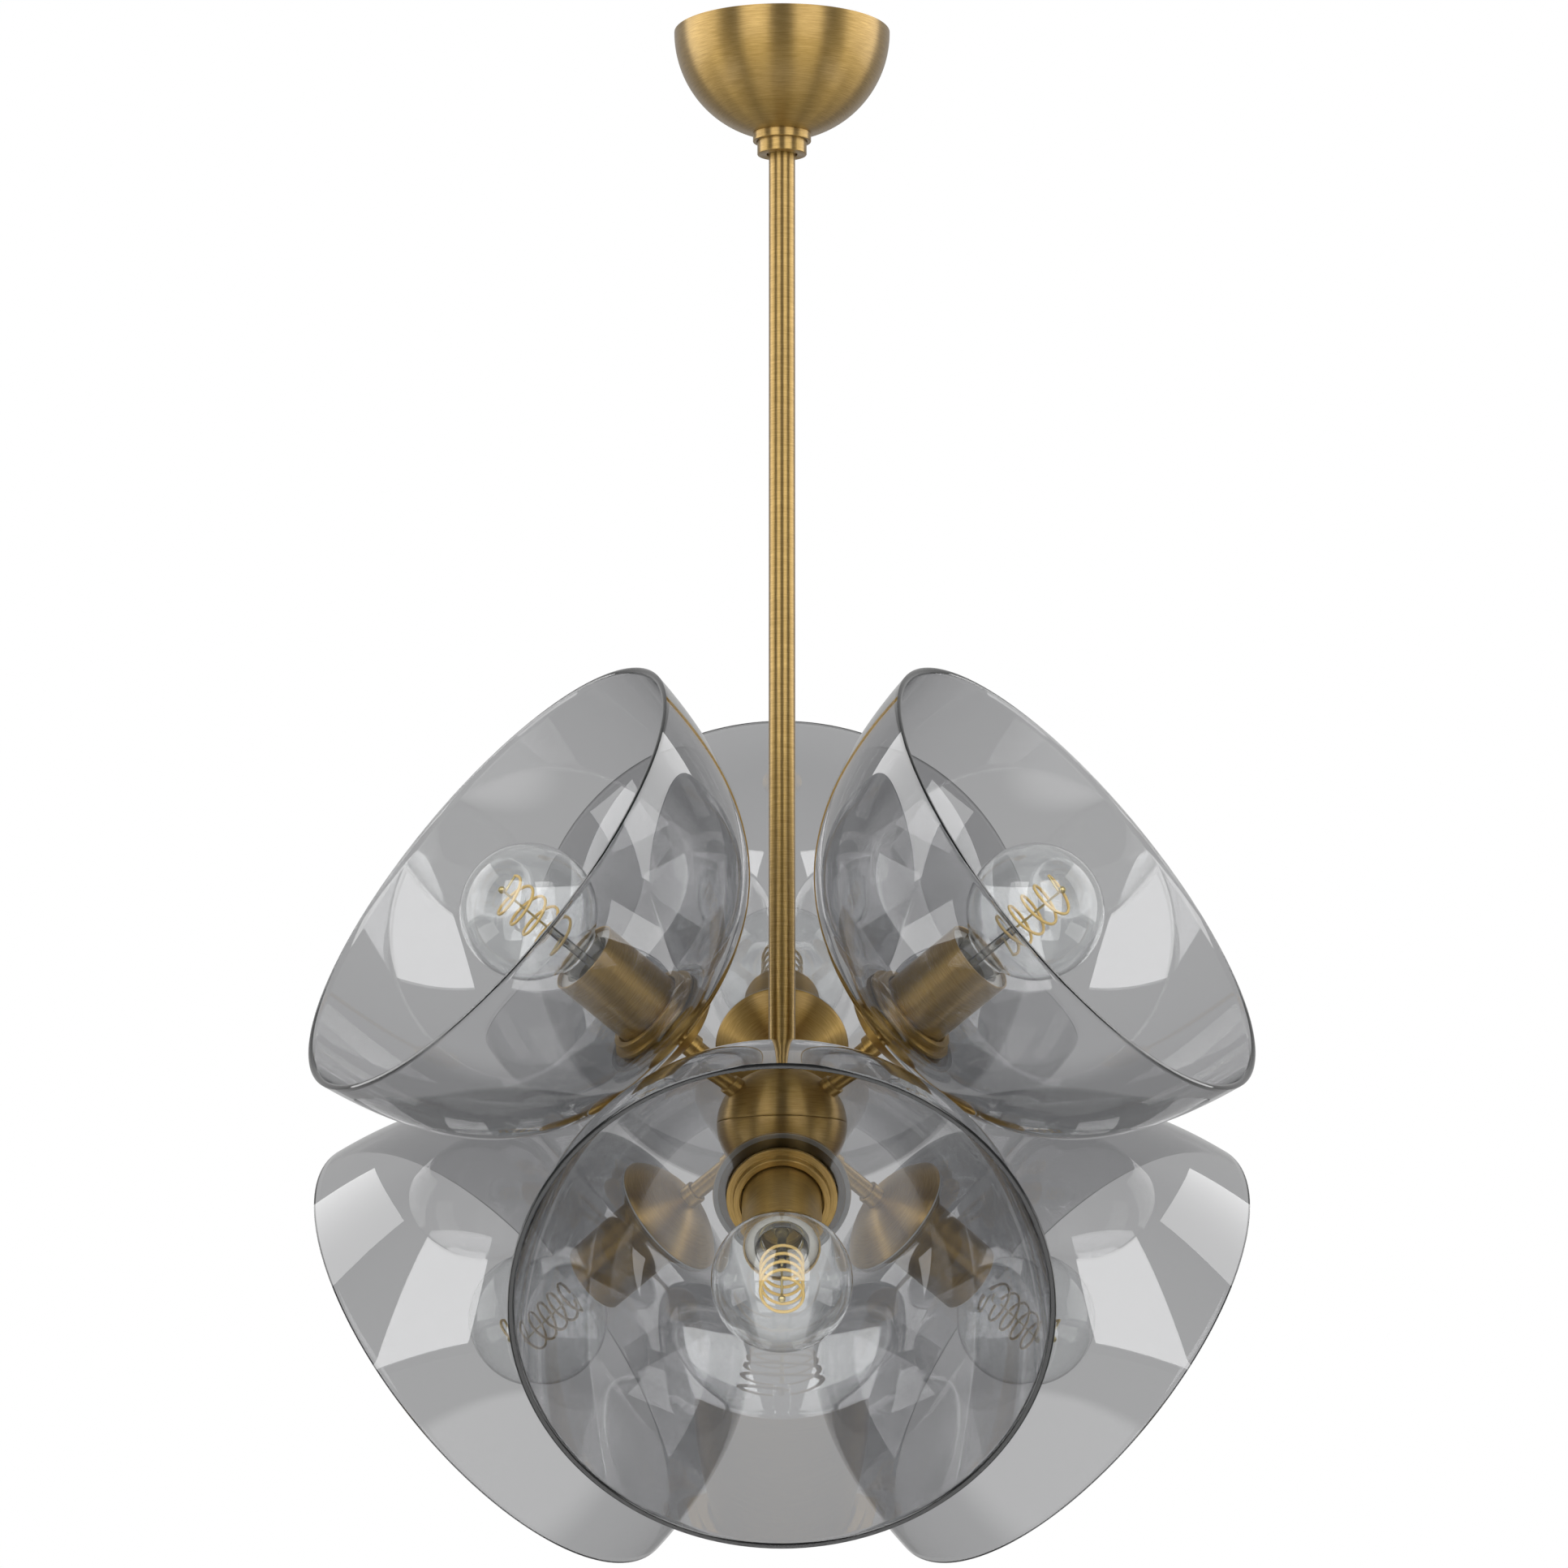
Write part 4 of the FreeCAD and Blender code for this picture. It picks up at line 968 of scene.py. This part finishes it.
class PENDANT_OT_stage(bpy.types.Operator):
    """Builds the floor, the lamps, the room's light and the camera"""
    bl_idname = "pendant.stage"
    bl_label = "Stage"

    def execute(self, context):
        stage = context.scene.pendant_stage
        half = stage.floor_half
        corners = [(x * half, y * half, stage.floor_height) for x, y in ((-1, -1), (1, -1), (1, 1), (-1, 1))]
        mesh = bpy.data.meshes.new("floor")
        mesh.from_pydata(corners, [], [(0, 1, 2, 3)])
        floor = bpy.data.objects.new("floor", mesh)
        context.scene.collection.objects.link(floor)
        mesh.materials.append(floor_material(stage))
        for name, side in (("left", -1), ("right", 1)):
            for kind, azimuth, rise, distance, size, power, through_glass in LAMPS:
                softbox(f"softbox_{kind}_{name}", side * azimuth, rise, distance, size, getattr(stage, power),
                        through_glass)
        room_light(context.scene, stage)
        camera = bpy.data.objects.new("camera", bpy.data.cameras.new("camera"))
        camera.data.sensor_width = SENSOR_WIDTH
        camera.data.lens = stage.focal_length
        camera.location = (stage.camera_offset, -stage.camera_distance, stage.camera_height)
        camera.rotation_euler = (math.pi / 2 + stage.camera_pitch, 0, 0)
        context.scene.collection.objects.link(camera)
        context.scene.camera = camera
        context.scene.view_settings.view_transform = "Standard"
        return {"FINISHED"}


def softbox(name, azimuth, rise, distance, size, power, through_glass):
    """A rectangular lamp that faces the object's middle, turned from the camera's side and raised."""
    turned_by, raised_by = math.radians(azimuth), math.radians(rise)
    lamp = bpy.data.lights.new(name, "AREA")
    lamp.shape = "RECTANGLE"
    lamp.size, lamp.size_y = size
    lamp.energy = power
    made = bpy.data.objects.new(name, lamp)
    level = distance * math.cos(raised_by)
    made.location = (level * math.sin(turned_by), -level * math.cos(turned_by),
                     OBJECT_MIDDLE + distance * math.sin(raised_by))
    made.rotation_euler = (math.pi / 2 - raised_by, 0, turned_by)
    made.visible_camera = False
    made.visible_transmission = through_glass
    bpy.context.scene.collection.objects.link(made)


def room_light(scene, stage):
    """The room: white to the eye, and even on matt surfaces.

    Gloss shows a dim front and a pale backdrop. Glass shows the backdrop as a pale grey and the lit
    sides as bright."""
    world = bpy.data.worlds.new("studio")
    world.use_nodes = True
    tree = world.node_tree
    tree.nodes.clear()
    path = add(tree, "ShaderNodeLightPath").outputs
    direction = add(tree, "ShaderNodeTexCoord").outputs["Generated"]
    axes = add(tree, "ShaderNodeSeparateXYZ", Vector=direction).outputs
    aside = add(tree, "ShaderNodeMath", {"operation": "ABSOLUTE"}, _0=axes["X"]).outputs["Value"]
    to_back = smooth_step(tree, axes["Y"], *FRONT_TO_BACK)
    to_side = smooth_step(tree, aside, *MIDDLE_TO_SIDE)
    gloss = mixed_value(tree, to_back, stage.front_dark, stage.back_light)
    behind_glass = mixed_value(tree, to_side, stage.seen_through, stage.side_through)
    reflected = mixed_value(tree, path["Is Glossy Ray"], stage.fill, gloss)
    through = mixed_value(tree, path["Is Transmission Ray"], reflected, behind_glass)
    strength = mixed_value(tree, path["Is Camera Ray"], through, 1.0)
    light = add(tree, "ShaderNodeBackground", Color=WHITE, Strength=strength)
    add(tree, "ShaderNodeOutputWorld", Surface=light.outputs["Background"])
    scene.world = world


def smooth_step(tree, value, low, high):
    """0 below low and 1 above high, with a smooth rise between."""
    node = add(tree, "ShaderNodeMapRange", {"interpolation_type": "SMOOTHSTEP"}, Value=value)
    node.inputs["From Min"].default_value = low
    node.inputs["From Max"].default_value = high
    return node.outputs["Result"]


def mixed_value(tree, factor, low, high):
    """low where the factor is 0 and high where it is 1."""
    node = add(tree, "ShaderNodeMapRange", Value=factor)
    for name, value in (("To Min", low), ("To Max", high)):
        if isinstance(value, bpy.types.NodeSocket):
            tree.links.new(value, node.inputs[name])
        else:
            node.inputs[name].default_value = value
    return node.outputs["Result"]


class PENDANT_PT_panel(bpy.types.Panel):
    """The pendant's settings and steps"""
    bl_idname = "PENDANT_PT_panel"
    bl_label = "Cluster Pendant"
    bl_space_type = "VIEW_3D"
    bl_region_type = "UI"
    bl_category = "Pendant"

    def draw(self, context):
        for operator in OPERATORS:
            self.layout.operator(operator.bl_idname)
        for group in (context.scene.pendant_sizes, context.scene.pendant_finish, context.scene.pendant_stage):
            column = self.layout.column()
            for name in group.__annotations__:
                column.prop(group, name)


# ---------------------------------------------------------------- registering
GROUPS = {"pendant_sizes": PendantSizes, "pendant_finish": PendantFinish, "pendant_stage": PendantStage}
OPERATORS = [
    PENDANT_OT_canopy, PENDANT_OT_swivel, PENDANT_OT_rod_and_hub, PENDANT_OT_arms, PENDANT_OT_holders,
    PENDANT_OT_shades, PENDANT_OT_bulbs, PENDANT_OT_fittings, PENDANT_OT_stage]


def register():
    """Registers the settings, operators and panel."""
    for name, group in GROUPS.items():
        bpy.utils.register_class(group)
        setattr(bpy.types.Scene, name, PointerProperty(type=group))
    for cls in [*OPERATORS, PENDANT_PT_panel]:
        bpy.utils.register_class(cls)


def unregister():
    """Takes the settings, operators and panel away again."""
    for cls in [PENDANT_PT_panel, *reversed(OPERATORS)]:
        bpy.utils.unregister_class(cls)
    for name, group in GROUPS.items():
        delattr(bpy.types.Scene, name)
        bpy.utils.unregister_class(group)


def main():
    """Builds everything in order."""
    register()
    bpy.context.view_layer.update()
    for operator in OPERATORS:
        getattr(bpy.ops.pendant, operator.bl_idname.split(".")[1])()


if __name__ == "__main__":
    main()
